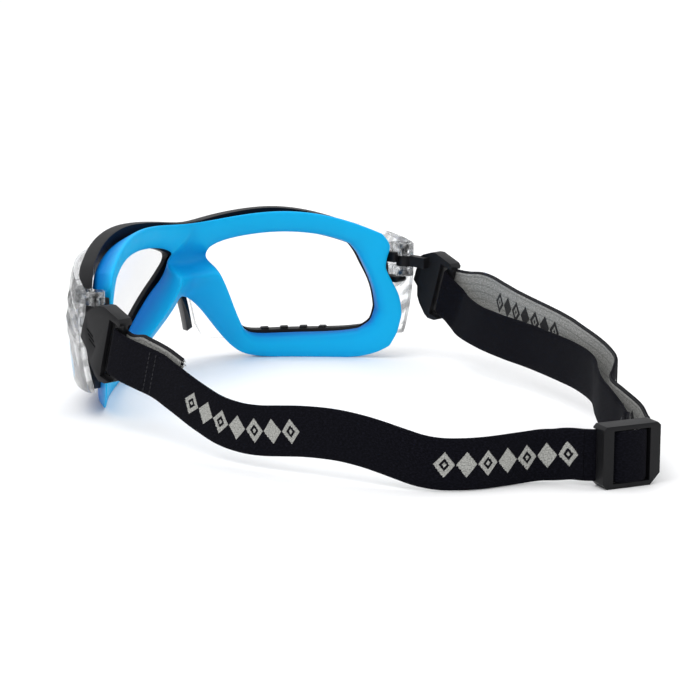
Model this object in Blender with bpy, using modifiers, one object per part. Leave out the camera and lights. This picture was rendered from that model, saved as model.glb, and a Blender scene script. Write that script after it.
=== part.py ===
"""Safety goggles: clear wrap-round lens, black inner frame, soft face seal and an elastic strap.

Every length below is in millimetres. Positions are given in the wearer's frame: x to the
wearer's left, y to the back of the head, z up from the table, x = 0 on the goggles' mid plane.
Objects are placed in metres with the world origin under the middle of the whole object.
"""
import math

import bmesh
import bpy
from mathutils import Matrix, Vector

MM = 0.001
GAP = 0.3                              # clearance between pieces that touch
CENTRE = Vector((0.0, 109.51, 0.0))   # middle of the whole object's footprint

# Lens surface: an ellipse at each height, tilted back towards the brow.
LENS_CENTRE_Y = 55.0
LENS_HALF_WIDTH = 82.0
LENS_WIDEST_Z = 34.0
LENS_TAPER = 0.0073                    # half width lost per square millimetre away from the widest
LENS_APEX_Y = -8.6
LENS_APEX_Z = 20.0
LENS_TILT = 0.19
LENS_THICK = 2.2
FRAME_FRONT = 2.7                      # depths behind the lens's outer surface
FRAME_REAR = 7.5
SEAL_FRONT = 8.6
NOSE_FRONT = -0.9
NOSE_REAR = 2.3

# Hinge: a screw through the upper ear, the clip's tongue and the lower ear.
PIN = Vector((75.0, 46.0, 0.0))
EAR_RADIUS = 3.6
UPPER_EAR = (41.0, 45.4)
LOWER_EAR = (32.9, 36.4)
TONGUE = (36.7, 40.7)
SCREW_RADIUS = 1.0
SCREW_HOLE = 1.3
HEAD_RADIUS = 1.9
HEAD_POCKET = 2.25
HEAD_SEAT_Z = 43.2
NUT_RADIUS = 2.0                       # across the corners
NUT_POCKET = 2.45
NUT_TOP_Z = 34.9

# Strap and the clip that holds it.
STRAP_WIDTH = 16.2
STRAP_THICK = 1.3
CLIP_OUTER_X = 82.2
CLIP_FRONT_X = 78.9
CLIP_INNER_X = 77.1
CLIP_TILT = math.radians(17.0)
SLOT_START = Vector((0.0, 60.4, 28.9))  # middle of the slot's front edge
SLOT_LENGTH = 3.2
SLOT_HALF = 9.5
RECESS_HALF = 10.5
BAR_MID_X = 79.5
BAR_THICK = 1.8
RIGHT_LEAN = math.radians(15.0)        # the loose loop crosses the right clip's bar at a slant
RIGHT_SHIFT = 0.6
LAYER_X = (BAR_THICK + STRAP_THICK) / 2 + GAP

# Three-bar buckle. Its own axes: along the strap, outwards, and up.
BUCKLE_CENTRE = Vector((8.3, 223.2, 0.0))
BUCKLE_HEADING = math.radians(160.0)
BUCKLE_LENGTH = 20.0
BUCKLE_HEIGHT = 19.6
BUCKLE_DEPTH = 6.6
RAIL_HEIGHT = 1.5
SIDE_BAR = 3.6
SIDE_BAR_INNER = -1.2
CENTRE_BAR = (1.2, -2.4, -0.8)         # half length along the strap, inner and outer face
BUCKLE_STRAP_Z = BUCKLE_HEIGHT / 2

# Face seal and frame, station by station round one eye opening, from the brow over the temple:
# face inner (x, z), face outer (x, z), frame inner (degrees, z), frame outer (degrees, z).
STATIONS = [
    ((10.0, 46.6), (0.0, 57.3), (8.0, 45.9), (0.0, 56.2)),
    ((14.5, 48.8), (12.0, 58.7), (11.4, 48.4), (9.8, 58.3)),
    ((23.5, 50.2), (24.0, 60.0), (18.9, 50.1), (19.7, 59.7)),
    ((34.0, 51.0), (36.0, 60.4), (28.5, 50.8), (30.3, 60.3)),
    ((44.0, 50.2), (48.5, 58.5), (39.3, 50.0), (40.5, 58.8)),
    ((51.5, 48.4), (58.5, 54.6), (50.0, 47.6), (50.7, 55.6)),
    ((56.5, 45.8), (66.3, 50.2), (57.4, 44.8), (61.3, 51.0)),
    ((59.0, 42.4), (69.2, 45.4), (61.6, 41.2), (68.0, 46.6)),
    ((60.3, 39.4), (67.6, 41.2), (63.0, 38.0), (70.5, 42.0)),
    ((61.8, 36.0), (67.4, 36.0), (64.8, 35.0), (71.5, 37.0)),
    ((63.2, 31.0), (69.6, 30.2), (67.6, 31.0), (73.0, 32.0)),
    ((64.2, 25.5), (71.8, 25.2), (70.1, 26.0), (75.0, 26.0)),
    ((64.3, 19.0), (72.0, 17.8), (71.7, 20.5), (76.0, 19.5)),
    ((62.6, 13.8), (71.0, 10.5), (71.6, 15.6), (75.5, 13.0)),
    ((59.5, 10.9), (68.4, 4.4), (67.3, 12.3), (71.0, 8.4)),
    ((55.0, 9.3), (64.6, 0.0), (59.0, 10.9), (61.5, 6.6)),
    ((48.0, 8.4), (55.0, 0.0), (47.5, 10.6), (49.5, 6.2)),
    ((41.0, 7.8), (43.0, 0.0), (37.6, 10.6), (39.2, 6.2)),
    ((34.5, 7.5), (33.0, 0.0), (29.3, 10.6), (28.6, 6.2)),
    ((30.4, 9.2), (27.4, 1.6), (25.0, 11.6), (23.5, 7.4)),
    ((28.0, 13.2), (22.5, 6.6), (22.3, 15.8), (18.7, 12.0)),
    ((25.2, 19.4), (17.5, 13.0), (19.6, 22.0), (14.5, 18.0)),
    ((22.0, 26.0), (12.4, 19.6), (16.9, 28.0), (10.4, 23.6)),
    ((18.8, 32.0), (6.8, 25.0), (14.3, 33.4), (5.4, 28.4)),
    ((15.3, 37.0), (0.0, 27.8), (11.5, 37.4), (0.0, 31.0)),
    ((12.3, 39.6), (0.0, 34.0), (9.3, 39.8), (0.0, 36.0)),
    ((10.2, 41.9), (0.0, 40.0), (7.9, 41.8), (0.0, 41.0)),
    ((9.3, 44.2), (0.0, 46.0), (7.3, 43.8), (0.0, 46.0)),
    ((9.4, 45.6), (0.0, 52.0), (7.5, 45.1), (0.0, 51.0)),
]
FIRST_MID_STATION = 24                 # from here to the start the outer edge lies on the mid plane
FLAT_STATIONS = range(15, 19)          # the seal's flat foot

# Lens outline: (degrees round the lens, bottom z, top z).
LENS_COLUMNS = [
    (0.0, 39.5, 53.6), (2.0, 37.6, 53.7), (4.0, 33.5, 53.8), (6.0, 28.0, 53.9), (8.0, 21.5, 54.0),
    (10.0, 14.5, 54.0), (12.5, 9.8, 54.0), (16.0, 7.8, 54.0), (21.0, 7.2, 54.0), (28.0, 7.2, 54.0),
    (36.0, 7.6, 53.9), (44.0, 8.2, 53.6), (51.0, 8.7, 53.1), (58.0, 9.1, 52.2), (64.0, 9.2, 51.0),
    (69.0, 9.3, 49.6), (73.5, 9.3, 48.2), (77.5, 9.4, 46.8), (80.6, 9.8, 45.4),
]

# Strap routes: the middle of the webbing, chosen by hand where it hangs and lies.
NEAR_RUN = [
    (80.4, 94.7, 20.4), (80.4, 99.6, 18.7), (80.0, 107.0, 16.0), (79.3, 115.8, 13.4),
    (78.0, 124.1, 12.3), (76.3, 131.9, 12.4), (74.4, 139.0, 13.2), (72.4, 146.0, 14.0),
    (70.3, 153.0, 14.4), (68.2, 159.5, 14.3), (66.0, 166.0, 13.6), (63.7, 172.4, 12.4),
    (61.3, 178.5, 10.9), (58.5, 184.2, 9.4), (54.9, 189.1, 8.6), (50.3, 193.1, 8.4),
    (44.7, 196.2, 8.3), (38.3, 198.4, 8.3), (31.6, 200.6, 8.4), (25.7, 203.2, 8.7),
    (22.6, 206.9, 9.0), (20.6, 210.9, 9.7), (19.05, 214.6, 9.8),
]
OUTER_RUN = [
    (-8.5, 217.9, 9.8), (-11.2, 214.9, 10.0), (-15.4, 208.9, 11.6), (-21.1, 197.8, 13.4),
    (-25.2, 190.6, 14.3), (-28.3, 187.3, 15.4), (-32.2, 185.0, 16.6), (-38.8, 180.5, 18.4),
    (-43.8, 174.3, 19.5), (-48.8, 165.5, 21.0), (-53.3, 155.3, 22.6), (-57.5, 145.5, 24.0),
    (-61.0, 135.5, 25.2), (-65.0, 123.0, 26.4), (-69.0, 111.0, 27.5), (-73.2, 100.5, 28.5),
    (-77.4, 90.5, 29.5), (-80.1, 82.5, 29.7), (-81.3, 75.6, 28.95), (-81.35, 71.1, 28.85),
]
INNER_RUN = [
    (-77.65, 69.8, 24.05), (-76.9, 73.2, 22.1), (-74.2, 78.2, 21.0), (-70.6, 85.6, 20.3),
    (-67.6, 94.0, 19.5), (-64.2, 107.0, 18.8), (-60.5, 123.0, 18.3), (-56.5, 136.0, 17.9), (-51.3, 150.5, 17.5),
    (-46.3, 160.8, 17.1), (-40.3, 170.0, 16.4), (-32.2, 178.0, 15.2), (-24.6, 186.2, 14.2),
    (-18.2, 195.6, 12.6), (-13.1, 203.6, 10.6), (-8.5, 209.3, 9.9),
]


# ---------------------------------------------------------------- scene helpers

def clear_scene():
    for obj in list(bpy.data.objects):
        bpy.data.objects.remove(obj, do_unlink=True)


def new_collection(name):
    collection = bpy.data.collections.new(name)
    bpy.context.scene.collection.children.link(collection)
    return collection


def material(name, colour, roughness, metallic=0.0, alpha=1.0, transmission=0.0):
    result = bpy.data.materials.new(name)
    result.use_nodes = True
    shader = result.node_tree.nodes["Principled BSDF"]
    shader.inputs["Base Color"].default_value = (*colour, 1.0)
    shader.inputs["Roughness"].default_value = roughness
    shader.inputs["Metallic"].default_value = metallic
    shader.inputs["Alpha"].default_value = alpha
    shader.inputs["Transmission Weight"].default_value = transmission
    result.diffuse_color = (*colour, alpha)
    return result


def mesh_object(name, verts, faces, collection, surface=None, origin=Vector((0, 0, 0))):
    """Make an object from vertices in the wearer's frame, with its own origin at a given point."""
    mesh = bpy.data.meshes.new(name)
    mesh.from_pydata([(Vector(v) - origin) * MM for v in verts], [], faces)
    mesh.validate()
    work = bmesh.new()
    work.from_mesh(mesh)
    bmesh.ops.recalc_face_normals(work, faces=work.faces)
    work.to_mesh(mesh)
    work.free()
    return link_mesh(name, mesh, collection, surface, origin)


def link_mesh(name, mesh, collection, surface=None, origin=Vector((0, 0, 0))):
    obj = bpy.data.objects.new(name, mesh)
    obj.location = (origin - CENTRE) * MM
    collection.objects.link(obj)
    if surface:
        mesh.materials.append(surface)
    return obj


def primitive(name, build, centre, collection, surface=None, origin=Vector((0, 0, 0)), turn=0.0):
    """Run a bmesh primitive at a centre given in the wearer's frame."""
    work = bmesh.new()
    place = Matrix.Translation((centre - origin) * MM) @ Matrix.Rotation(turn, 4, "Z")
    build(work, place)
    mesh = bpy.data.meshes.new(name)
    work.to_mesh(mesh)
    work.free()
    return link_mesh(name, mesh, collection, surface, origin)


def box(name, low, high, collection, surface=None, origin=Vector((0, 0, 0)), turn=0.0, about=None):
    """A box between two corners, turned about Z at a point when one is given."""
    low = Vector(low)
    high = Vector(high)
    centre = (low + high) / 2
    if about is not None:
        centre = about + Matrix.Rotation(turn, 3, "Z") @ centre
    size = (high - low) * MM

    def build(work, place):
        bmesh.ops.create_cube(work, size=1.0, matrix=place @ Matrix.Diagonal((*size, 1.0)))

    return primitive(name, build, centre, collection, surface, origin, turn)


def cylinder(name, centre, radius, z_range, collection, surface=None, origin=Vector((0, 0, 0)),
             segments=24, turn=0.0):
    low, high = z_range
    middle = Vector((centre.x, centre.y, (low + high) / 2))

    def build(work, place):
        bmesh.ops.create_cone(work, cap_ends=True, segments=segments, radius1=radius * MM,
                              radius2=radius * MM, depth=(high - low) * MM, matrix=place)

    return primitive(name, build, middle, collection, surface, origin, turn)


def flat_shape(name, outline, x_range, collection, origin, side=1):
    """A flat outline in the (y, z) plane with a thickness along x, made from a filled 2D curve."""
    low, high = x_range
    curve = bpy.data.curves.new(name, "CURVE")
    curve.dimensions = "2D"
    curve.fill_mode = "BOTH"
    curve.extrude = (high - low) / 2 * MM
    spline = curve.splines.new("POLY")
    spline.points.add(len(outline) - 1)
    for point, (y, z) in zip(spline.points, outline):
        point.co = ((y - origin.y) * MM, (z - origin.z) * MM, 0.0, 1.0)
    spline.use_cyclic_u = True
    carrier = bpy.data.objects.new(name + "_curve", curve)
    collection.objects.link(carrier)
    bpy.context.view_layer.update()
    mesh = bpy.data.meshes.new_from_object(carrier)
    bpy.data.objects.remove(carrier, do_unlink=True)
    mesh.transform(Matrix(((0, 0, 1, 0), (1, 0, 0, 0), (0, 1, 0, 0), (0, 0, 0, 1))))
    mesh.transform(Matrix.Translation(((side * (low + high) / 2 - origin.x) * MM, 0, 0)))
    work = bmesh.new()
    work.from_mesh(mesh)
    bmesh.ops.remove_doubles(work, verts=work.verts, dist=1e-7)
    bmesh.ops.recalc_face_normals(work, faces=work.faces)
    work.to_mesh(mesh)
    work.free()
    return link_mesh(name, mesh, collection, None, origin)


def boolean(obj, operation, *others):
    for other in others:
        modifier = obj.modifiers.new(operation.lower() + "_" + other.name, "BOOLEAN")
        modifier.operation = operation
        modifier.solver = "EXACT"
        modifier.object = other
    return obj


def bevel(obj, width, segments=2, angle=35.0):
    modifier = obj.modifiers.new("rounded", "BEVEL")
    modifier.width = width * MM
    modifier.segments = segments
    modifier.limit_method = "ANGLE"
    modifier.angle_limit = math.radians(angle)
    return obj


def mirror(obj):
    modifier = obj.modifiers.new("symmetric", "MIRROR")
    modifier.use_axis[0] = True
    modifier.use_clip = True
    modifier.use_mirror_merge = True
    modifier.merge_threshold = 0.00005
    return obj


def subdivide(obj, levels):
    modifier = obj.modifiers.new("soft", "SUBSURF")
    modifier.levels = levels
    modifier.render_levels = levels
    return obj


def shade_smooth(obj, angle=40.0):
    for polygon in obj.data.polygons:
        polygon.use_smooth = True
    obj.data.set_sharp_from_angle(angle=math.radians(angle))
    return obj


def smooth_route(points, spacing):
    """A Catmull-Rom curve through the points, sampled about every `spacing` millimetres."""
    points = [Vector(p) for p in points]
    ends = [points[0] * 2 - points[1]] + points + [points[-1] * 2 - points[-2]]
    route = []
    for a, b, c, d in zip(ends, ends[1:], ends[2:], ends[3:]):
        steps = max(1, round((c - b).length / spacing))
        for step in range(steps):
            t = step / steps
            route.append(0.5 * (2 * b + (c - a) * t + (2 * a - 5 * b + 4 * c - d) * t * t
                                + (3 * b - a - 3 * c + d) * t ** 3))
    route.append(points[-1])
    return route


# ---------------------------------------------------------------- surfaces of the front

def lens_half_width(z):
    return LENS_HALF_WIDTH - LENS_TAPER * (z - LENS_WIDEST_Z) ** 2


def lens_point(degrees, z, depth=0.0):
    """A point on the lens, or on the surface a given depth behind it."""
    angle = math.radians(degrees)
    apex = LENS_APEX_Y + LENS_TILT * (z - LENS_APEX_Z)
    reach = LENS_CENTRE_Y - apex - depth
    return Vector(((lens_half_width(z) - depth) * math.sin(angle),
                   LENS_CENTRE_Y - reach * math.cos(angle), z))


def face_point(x, z):
    """A point on the surface that meets the face, which follows the brow and the cheeks."""
    rise = z / 48.0
    y = -9.0 + 15.5 * rise + (0.0222 - 0.0045 * rise) * abs(x) ** 1.83
    return Vector((x, y, z))


def between(a, b, share):
    return a + (b - a) * share


def pair(a, b, share):
    return (a[0] + (b[0] - a[0]) * share, a[1] + (b[1] - a[1]) * share)


# ---------------------------------------------------------------- frame, seal and lens

def ring_mesh(name, sections, collection, surface, sharp=None):
    """Join closed sections round one eye; stations on the mid plane leave their outer wall open.

    Each section starts at its outer front corner and runs over the front, the inner wall and the
    rear to its outer rear corner; the outer wall closes it.
    """
    count = len(sections)
    size = len(sections[0])
    verts = [point for section in sections for point in section]
    faces = []
    for i in range(count):
        after = (i + 1) % count
        on_mid_plane = i >= FIRST_MID_STATION and (after >= FIRST_MID_STATION or after == 0)
        for k in range(size):
            nxt = (k + 1) % size
            if nxt <= 1 and k != 0 and on_mid_plane:
                continue
            if k == 0 and on_mid_plane:
                continue
            faces.append((i * size + k, i * size + nxt, after * size + nxt, after * size + k))
    obj = mesh_object(name, verts, faces, collection, surface)
    if sharp:
        crease = obj.data.attributes.new("crease_edge", "FLOAT", "EDGE")
        for edge in obj.data.edges:
            crease.data[edge.index].value = sharp(*edge.vertices, size)
    return obj


def seal_section(index):
    face_in, face_out, frame_in, frame_out = STATIONS[index]
    on_mid = index >= FIRST_MID_STATION or index == 0
    reach = 1.0 if on_mid else 0.55
    front_in = lens_point(*pair(frame_in, frame_out, 0.10), SEAL_FRONT)
    front_mid = lens_point(*pair(frame_in, frame_out, 0.1 + reach / 2), SEAL_FRONT)
    front_out = lens_point(*pair(frame_in, frame_out, reach), SEAL_FRONT)
    rear_in = face_point(*face_in)
    rear_out = face_point(*face_out)
    crown = Vector((0.0, 0.9, 0.0))
    ridge = Vector((0.0, 1.8 if 20 <= index <= 26 else 0.9, 0.0))
    first = face_point(*pair(face_in, face_out, 0.3)) + crown
    second = face_point(*pair(face_in, face_out, 0.7)) + ridge
    if index in FLAT_STATIONS:
        front_out.z = 0.0
        front_out.y = min(front_out.y, rear_out.y - 6.0)
        front_mid.z = min(front_mid.z, 5.5)
    outer_mid = between(rear_out, front_out, 0.5)
    return [outer_mid, front_out, front_mid, front_in, between(front_in, rear_in, 0.5),
            rear_in, first, second, rear_out]


def frame_section(index):
    _, _, frame_in, frame_out = STATIONS[index]
    middle = pair(frame_in, frame_out, 0.5)
    front_out = lens_point(*frame_out, FRAME_FRONT)
    rear_out = lens_point(*frame_out, FRAME_REAR)
    return [between(front_out, rear_out, 0.5), front_out, lens_point(*middle, FRAME_FRONT),
            lens_point(*frame_in, FRAME_FRONT), lens_point(*frame_in, FRAME_REAR),
            lens_point(*middle, FRAME_REAR), rear_out]


def foot_crease(a, b, size):
    """Keep the seal's foot flat: its edges along the foot stay sharp."""
    station_a, corner_a = divmod(a, size)
    station_b, corner_b = divmod(b, size)
    on_foot = station_a in FLAT_STATIONS and station_b in FLAT_STATIONS
    along = corner_a == corner_b and corner_a in (1, size - 1)
    return 0.9 if on_foot and along else 0.0


def frame_crease(a, b, size):
    station_a, corner_a = divmod(a, size)
    station_b, corner_b = divmod(b, size)
    return 0.75 if corner_a == corner_b and corner_a in (1, 3, 4, 6) else 0.0


def make_seal(parts, surface):
    sections = [seal_section(i) for i in range(len(STATIONS))]
    seal = ring_mesh("face_seal", sections, parts, surface, foot_crease)
    mirror(seal)
    subdivide(seal, 1)
    return shade_smooth(seal, 60.0)


def make_frame(parts, helpers, surface):
    sections = [frame_section(i) for i in range(len(STATIONS))]
    frame = ring_mesh("inner_frame", sections, parts, surface, frame_crease)
    mirror(frame)
    subdivide(frame, 1)
    for side, label in ((1, "left"), (-1, "right")):
        low_x, high_x = sorted((side * 68.9, side * 71.1))
        tab = box(label + "_tab", (low_x, 37.0, 38.4), (high_x, 46.6, 42.4), helpers)
        low_x, high_x = sorted((side * 70.7, side * 75.8))
        fin = box(label + "_fin", (low_x, 38.6, 30.2), (high_x, 46.4, 32.4), helpers)
        boolean(frame, "UNION", tab, fin)
    return shade_smooth(frame)


def make_lens(parts, helpers, surface):
    rows = 7
    verts = []
    for degrees, bottom, top in LENS_COLUMNS:
        for row in range(rows):
            verts.append(lens_point(degrees, bottom + (top - bottom) * row / (rows - 1)))
    faces = []
    for column in range(len(LENS_COLUMNS) - 1):
        for row in range(rows - 1):
            corner = column * rows + row
            faces.append((corner, corner + rows, corner + rows + 1, corner + 1))
    lens = mesh_object("lens", verts, faces, parts, surface)
    facing = lens.data.polygons[rows * 4].normal
    mirror(lens)
    shell = lens.modifiers.new("wall", "SOLIDIFY")
    shell.thickness = LENS_THICK * MM
    shell.offset = -1.0 if facing.y < 0 else 1.0
    shell.use_even_offset = True
    for side, label in ((1, "left"), (-1, "right")):
        for ear_name, span in (("upper", UPPER_EAR), ("lower", LOWER_EAR)):
            boolean(lens, "UNION", hinge_ear(label + "_" + ear_name, side, span, helpers))
        pin = Vector((side * PIN.x, PIN.y, 0.0))
        hole = cylinder(label + "_pin_hole", pin, SCREW_HOLE, (LOWER_EAR[0] - 2, UPPER_EAR[1] + 2),
                        helpers)
        head = cylinder(label + "_head_pocket", pin, HEAD_POCKET, (HEAD_SEAT_Z, UPPER_EAR[1] + 2),
                        helpers)
        nut = cylinder(label + "_nut_pocket", pin, NUT_POCKET, (LOWER_EAR[0] - 2, NUT_TOP_Z),
                       helpers, segments=6)
        boolean(lens, "DIFFERENCE", hole, head, nut)
    return shade_smooth(lens)


def hinge_ear(label, side, span, helpers):
    """A round eye on the screw's axis with a web that runs forward into the lens wall."""
    pin = Vector((side * PIN.x, PIN.y, 0.0))
    eye = cylinder(label + "_eye", pin, EAR_RADIUS, span, helpers, segments=32)
    low_x, high_x = sorted((side * 72.6, side * 78.2))
    web = box(label + "_web", (low_x, 40.0, span[0]), (high_x, 46.0, span[1]), helpers)
    return boolean(eye, "UNION", web)


def make_nose_piece(parts, surface):
    """The glossy saddle that lines the lens's nose arch."""
    arch = [(0.0, 36.6), (1.7, 35.3), (3.4, 31.6), (5.2, 26.2), (7.0, 20.0), (8.7, 13.4)]
    sections = []
    for degrees, z in arch:
        inward = (-1.6, -1.3) if degrees else (0.0, -2.0)
        outer = (degrees, z)
        inner = (max(0.0, degrees + inward[0]), z + inward[1])
        sections.append([lens_point(*outer, NOSE_FRONT), lens_point(*outer, NOSE_REAR),
                         lens_point(*inner, NOSE_REAR), lens_point(*inner, NOSE_FRONT)])
    verts = [point for section in sections for point in section]
    faces = []
    for i in range(len(sections) - 1):
        for k in range(4):
            nxt = (k + 1) % 4
            faces.append((i * 4 + k, i * 4 + nxt, i * 4 + 4 + nxt, i * 4 + 4 + k))
    last = (len(sections) - 1) * 4
    faces.append((last, last + 1, last + 2, last + 3))
    nose = mesh_object("nose_piece", verts, faces, parts, surface)
    mirror(nose)
    bevel(nose, 0.4)
    return shade_smooth(nose)


# ---------------------------------------------------------------- hinges and clips

def make_screw(parts, side, label, surface):
    pin = Vector((side * PIN.x, PIN.y, HEAD_SEAT_Z))
    profile = [(0.0, LOWER_EAR[0] + 0.2), (SCREW_RADIUS, LOWER_EAR[0] + 0.2),
               (SCREW_RADIUS, HEAD_SEAT_Z + GAP), (HEAD_RADIUS, HEAD_SEAT_Z + GAP),
               (HEAD_RADIUS, HEAD_SEAT_Z + 1.3), (HEAD_RADIUS - 0.5, HEAD_SEAT_Z + 1.7),
               (0.0, HEAD_SEAT_Z + 1.7)]
    verts = [(pin.x + r, pin.y, z) for r, z in profile]
    mesh = bpy.data.meshes.new(label + "_hinge_screw")
    mesh.from_pydata([(Vector(v) - pin) * MM for v in verts], [(i, i + 1) for i in range(6)], [])
    screw = link_mesh(label + "_hinge_screw", mesh, parts, surface, pin)
    turned = screw.modifiers.new("turned", "SCREW")
    turned.steps = 24
    turned.render_steps = 24
    turned.use_merge_vertices = True
    turned.merge_threshold = 0.00001
    turned.use_normal_calculate = True
    return screw


def make_nut(parts, helpers, side, label, surface):
    pin = Vector((side * PIN.x, PIN.y, LOWER_EAR[0]))
    nut = cylinder(label + "_hinge_nut", pin, NUT_RADIUS, (LOWER_EAR[0] + 0.2, NUT_TOP_Z - GAP),
                   parts, surface, pin, segments=6)
    hole = cylinder(label + "_nut_hole", pin, SCREW_HOLE, (LOWER_EAR[0] - 1, NUT_TOP_Z + 1), helpers)
    return boolean(nut, "DIFFERENCE", hole)


CLIP_OUTLINE = [
    (47.2, 30.8), (48.6, 35.0), (50.6, 39.6), (54.0, 41.6), (58.4, 42.9), (60.6, 42.9), (68.4, 39.6),
    (69.2, 38.4), (63.4, 19.0), (62.0, 17.2), (60.0, 16.6), (56.6, 17.0), (54.8, 18.4), (52.0, 22.4),
    (50.0, 27.4),
]
THICK_FROM_Y = 50.9                    # behind the ears the clip is full depth


def make_clip(parts, helpers, side, label, surface):
    pin = Vector((side * PIN.x, PIN.y, 0.0))
    clip = flat_shape(label + "_clip", CLIP_OUTLINE, (CLIP_INNER_X, CLIP_OUTER_X), parts, pin, side)
    clip.data.materials.append(surface)
    bevel(clip, 0.5, 2)
    low_x, high_x = sorted((side * 70.0, side * CLIP_FRONT_X))
    relief = box(label + "_ear_relief", (low_x, 40.0, 10.0), (high_x, THICK_FROM_Y, 50.0), helpers)
    boolean(clip, "DIFFERENCE", relief)
    low_x, high_x = sorted((side * 74.4, side * 77.9))
    tongue = box(label + "_tongue", (low_x, 46.0, TONGUE[0]), (high_x, 57.0, TONGUE[1]), helpers)
    barrel = cylinder(label + "_barrel", pin, 3.2, TONGUE, helpers, segments=32)
    hole = cylinder(label + "_tongue_hole", pin, SCREW_HOLE, (TONGUE[0] - 2, TONGUE[1] + 2), helpers)
    boolean(clip, "UNION", tongue, barrel)
    boolean(clip, "DIFFERENCE", hole)
    outer_face = BAR_MID_X + BAR_THICK / 2
    inner_face = BAR_MID_X - BAR_THICK / 2
    boolean(clip, "DIFFERENCE",
            tilted_box(label + "_slot", side, (0.3, SLOT_LENGTH), (70.0, 90.0), SLOT_HALF, helpers),
            tilted_box(label + "_outer_recess", side, (0.0, 24.0), (outer_face, 90.0), RECESS_HALF,
                       helpers),
            tilted_box(label + "_inner_recess", side, (0.0, 24.0), (70.0, inner_face), RECESS_HALF,
                       helpers))
    return shade_smooth(clip, 30.0)


def strap_frame():
    along = Vector((0.0, math.cos(CLIP_TILT), -math.sin(CLIP_TILT)))
    across = Vector((0.0, math.sin(CLIP_TILT), math.cos(CLIP_TILT)))
    return along, across


def tilted_box(name, side, s_range, x_range, half_width, helpers):
    """A box square to the strap where it passes through the clip."""
    along, across = strap_frame()
    x_low, x_high = x_range
    size = Vector((x_high - x_low, s_range[1] - s_range[0], 2 * half_width)) * MM
    middle = SLOT_START + along * (s_range[0] + s_range[1]) / 2
    middle.x = side * (x_low + x_high) / 2
    axes = Matrix((Vector((1, 0, 0)), along, across)).transposed().to_4x4()

    def build(work, place):
        bmesh.ops.create_cube(work, size=1.0, matrix=place @ axes @ Matrix.Diagonal((*size, 1.0)))

    return primitive(name, build, middle, helpers)


# ---------------------------------------------------------------- strap

def ribbon(name, rows, parts, surface, origin=Vector((0, 0, 0))):
    """Webbing from rows of points across its width."""
    columns = len(rows[0])
    verts = [point for row in rows for point in row]
    faces = []
    for i in range(len(rows) - 1):
        for k in range(columns - 1):
            corner = i * columns + k
            faces.append((corner, corner + columns, corner + columns + 1, corner + 1))
    strap = mesh_object(name, verts, faces, parts, surface, origin)
    webbing = strap.modifiers.new("webbing", "SOLIDIFY")
    webbing.thickness = STRAP_THICK * MM
    webbing.offset = 0.0
    webbing.use_even_offset = True
    return shade_smooth(strap)


def straight_rows(route, widths):
    half = STRAP_WIDTH / 2
    return [[p - w * half, p, p + w * half] for p, w in zip(route, widths)]


def upright(route, start=None, end=None, fade=28.0):
    """Width directions: square to the run, turning from given end directions to near vertical."""
    lengths = [0.0]
    for a, b in zip(route, route[1:]):
        lengths.append(lengths[-1] + (b - a).length)
    total = lengths[-1]
    result = []
    for i in range(len(route)):
        tangent = (route[min(i + 1, len(route) - 1)] - route[max(i - 1, 0)]).normalized()
        width = Vector((0, 0, 1))
        if start is not None:
            width = width.lerp(start, max(0.0, 1 - lengths[i] / fade))
        if end is not None:
            width = width.lerp(end, max(0.0, 1 - (total - lengths[i]) / fade))
        result.append((width - tangent * width.dot(tangent)).normalized())
    return result


def clip_fold(parts, side, label, tail, lean, shift, surface):
    """Webbing folded round the clip's rear bar, laid out as on the unrolled surface of the bar.

    `tail` lists where each layer runs behind the bar: along the strap, away from the bar's
    middle, and across. A lean makes the two layers leave the bar at opposite slants.
    """
    along, across = strap_frame()
    turn = [(4.8, -LAYER_X, 0), (3.3, -LAYER_X, 0), (2.5, -1.5, 0), (2.2, -0.8, 0), (2.1, 0.0, 0),
            (2.2, 0.8, 0), (2.5, 1.5, 0), (3.3, LAYER_X, 0), (4.8, LAYER_X, 0)]
    inner = [(s, -offset, w) for s, offset, w in reversed(tail)]
    route = smooth_route([*inner, *turn, *tail], 1.1)
    lengths = [0.0]
    for a, b in zip(route, route[1:]):
        lengths.append(lengths[-1] + (b - a).length)
    front = min(range(len(route)), key=lambda i: (route[i].x, abs(route[i].y)))
    lengths = [length - lengths[front] for length in lengths]

    def on_bar(distance):
        i = next((k for k in range(1, len(route) - 1) if lengths[k] >= distance), len(route) - 1)
        share = (distance - lengths[i - 1]) / (lengths[i] - lengths[i - 1])
        return route[i - 1].lerp(route[i], share)

    rows = []
    skew = STRAP_WIDTH / 2 * math.sin(lean)
    for distance, point in zip(lengths, route):
        if not lengths[0] + skew - 0.01 <= distance <= lengths[-1] - skew + 0.01:
            continue
        row = []
        for step in (-1.0, -0.5, 0.0, 0.5, 1.0):
            half = step * STRAP_WIDTH / 2
            s, offset, _ = on_bar(distance - half * math.sin(lean))
            shifted = shift + point.z + distance * math.tan(lean) + half * math.cos(lean)
            place = SLOT_START + along * s + across * shifted
            place.x = side * (BAR_MID_X + offset)
            row.append(place)
        rows.append(row)
    pin = Vector((side * PIN.x, PIN.y, 0.0))
    return ribbon(label + "_strap_fold", rows, parts, surface, pin)


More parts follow.
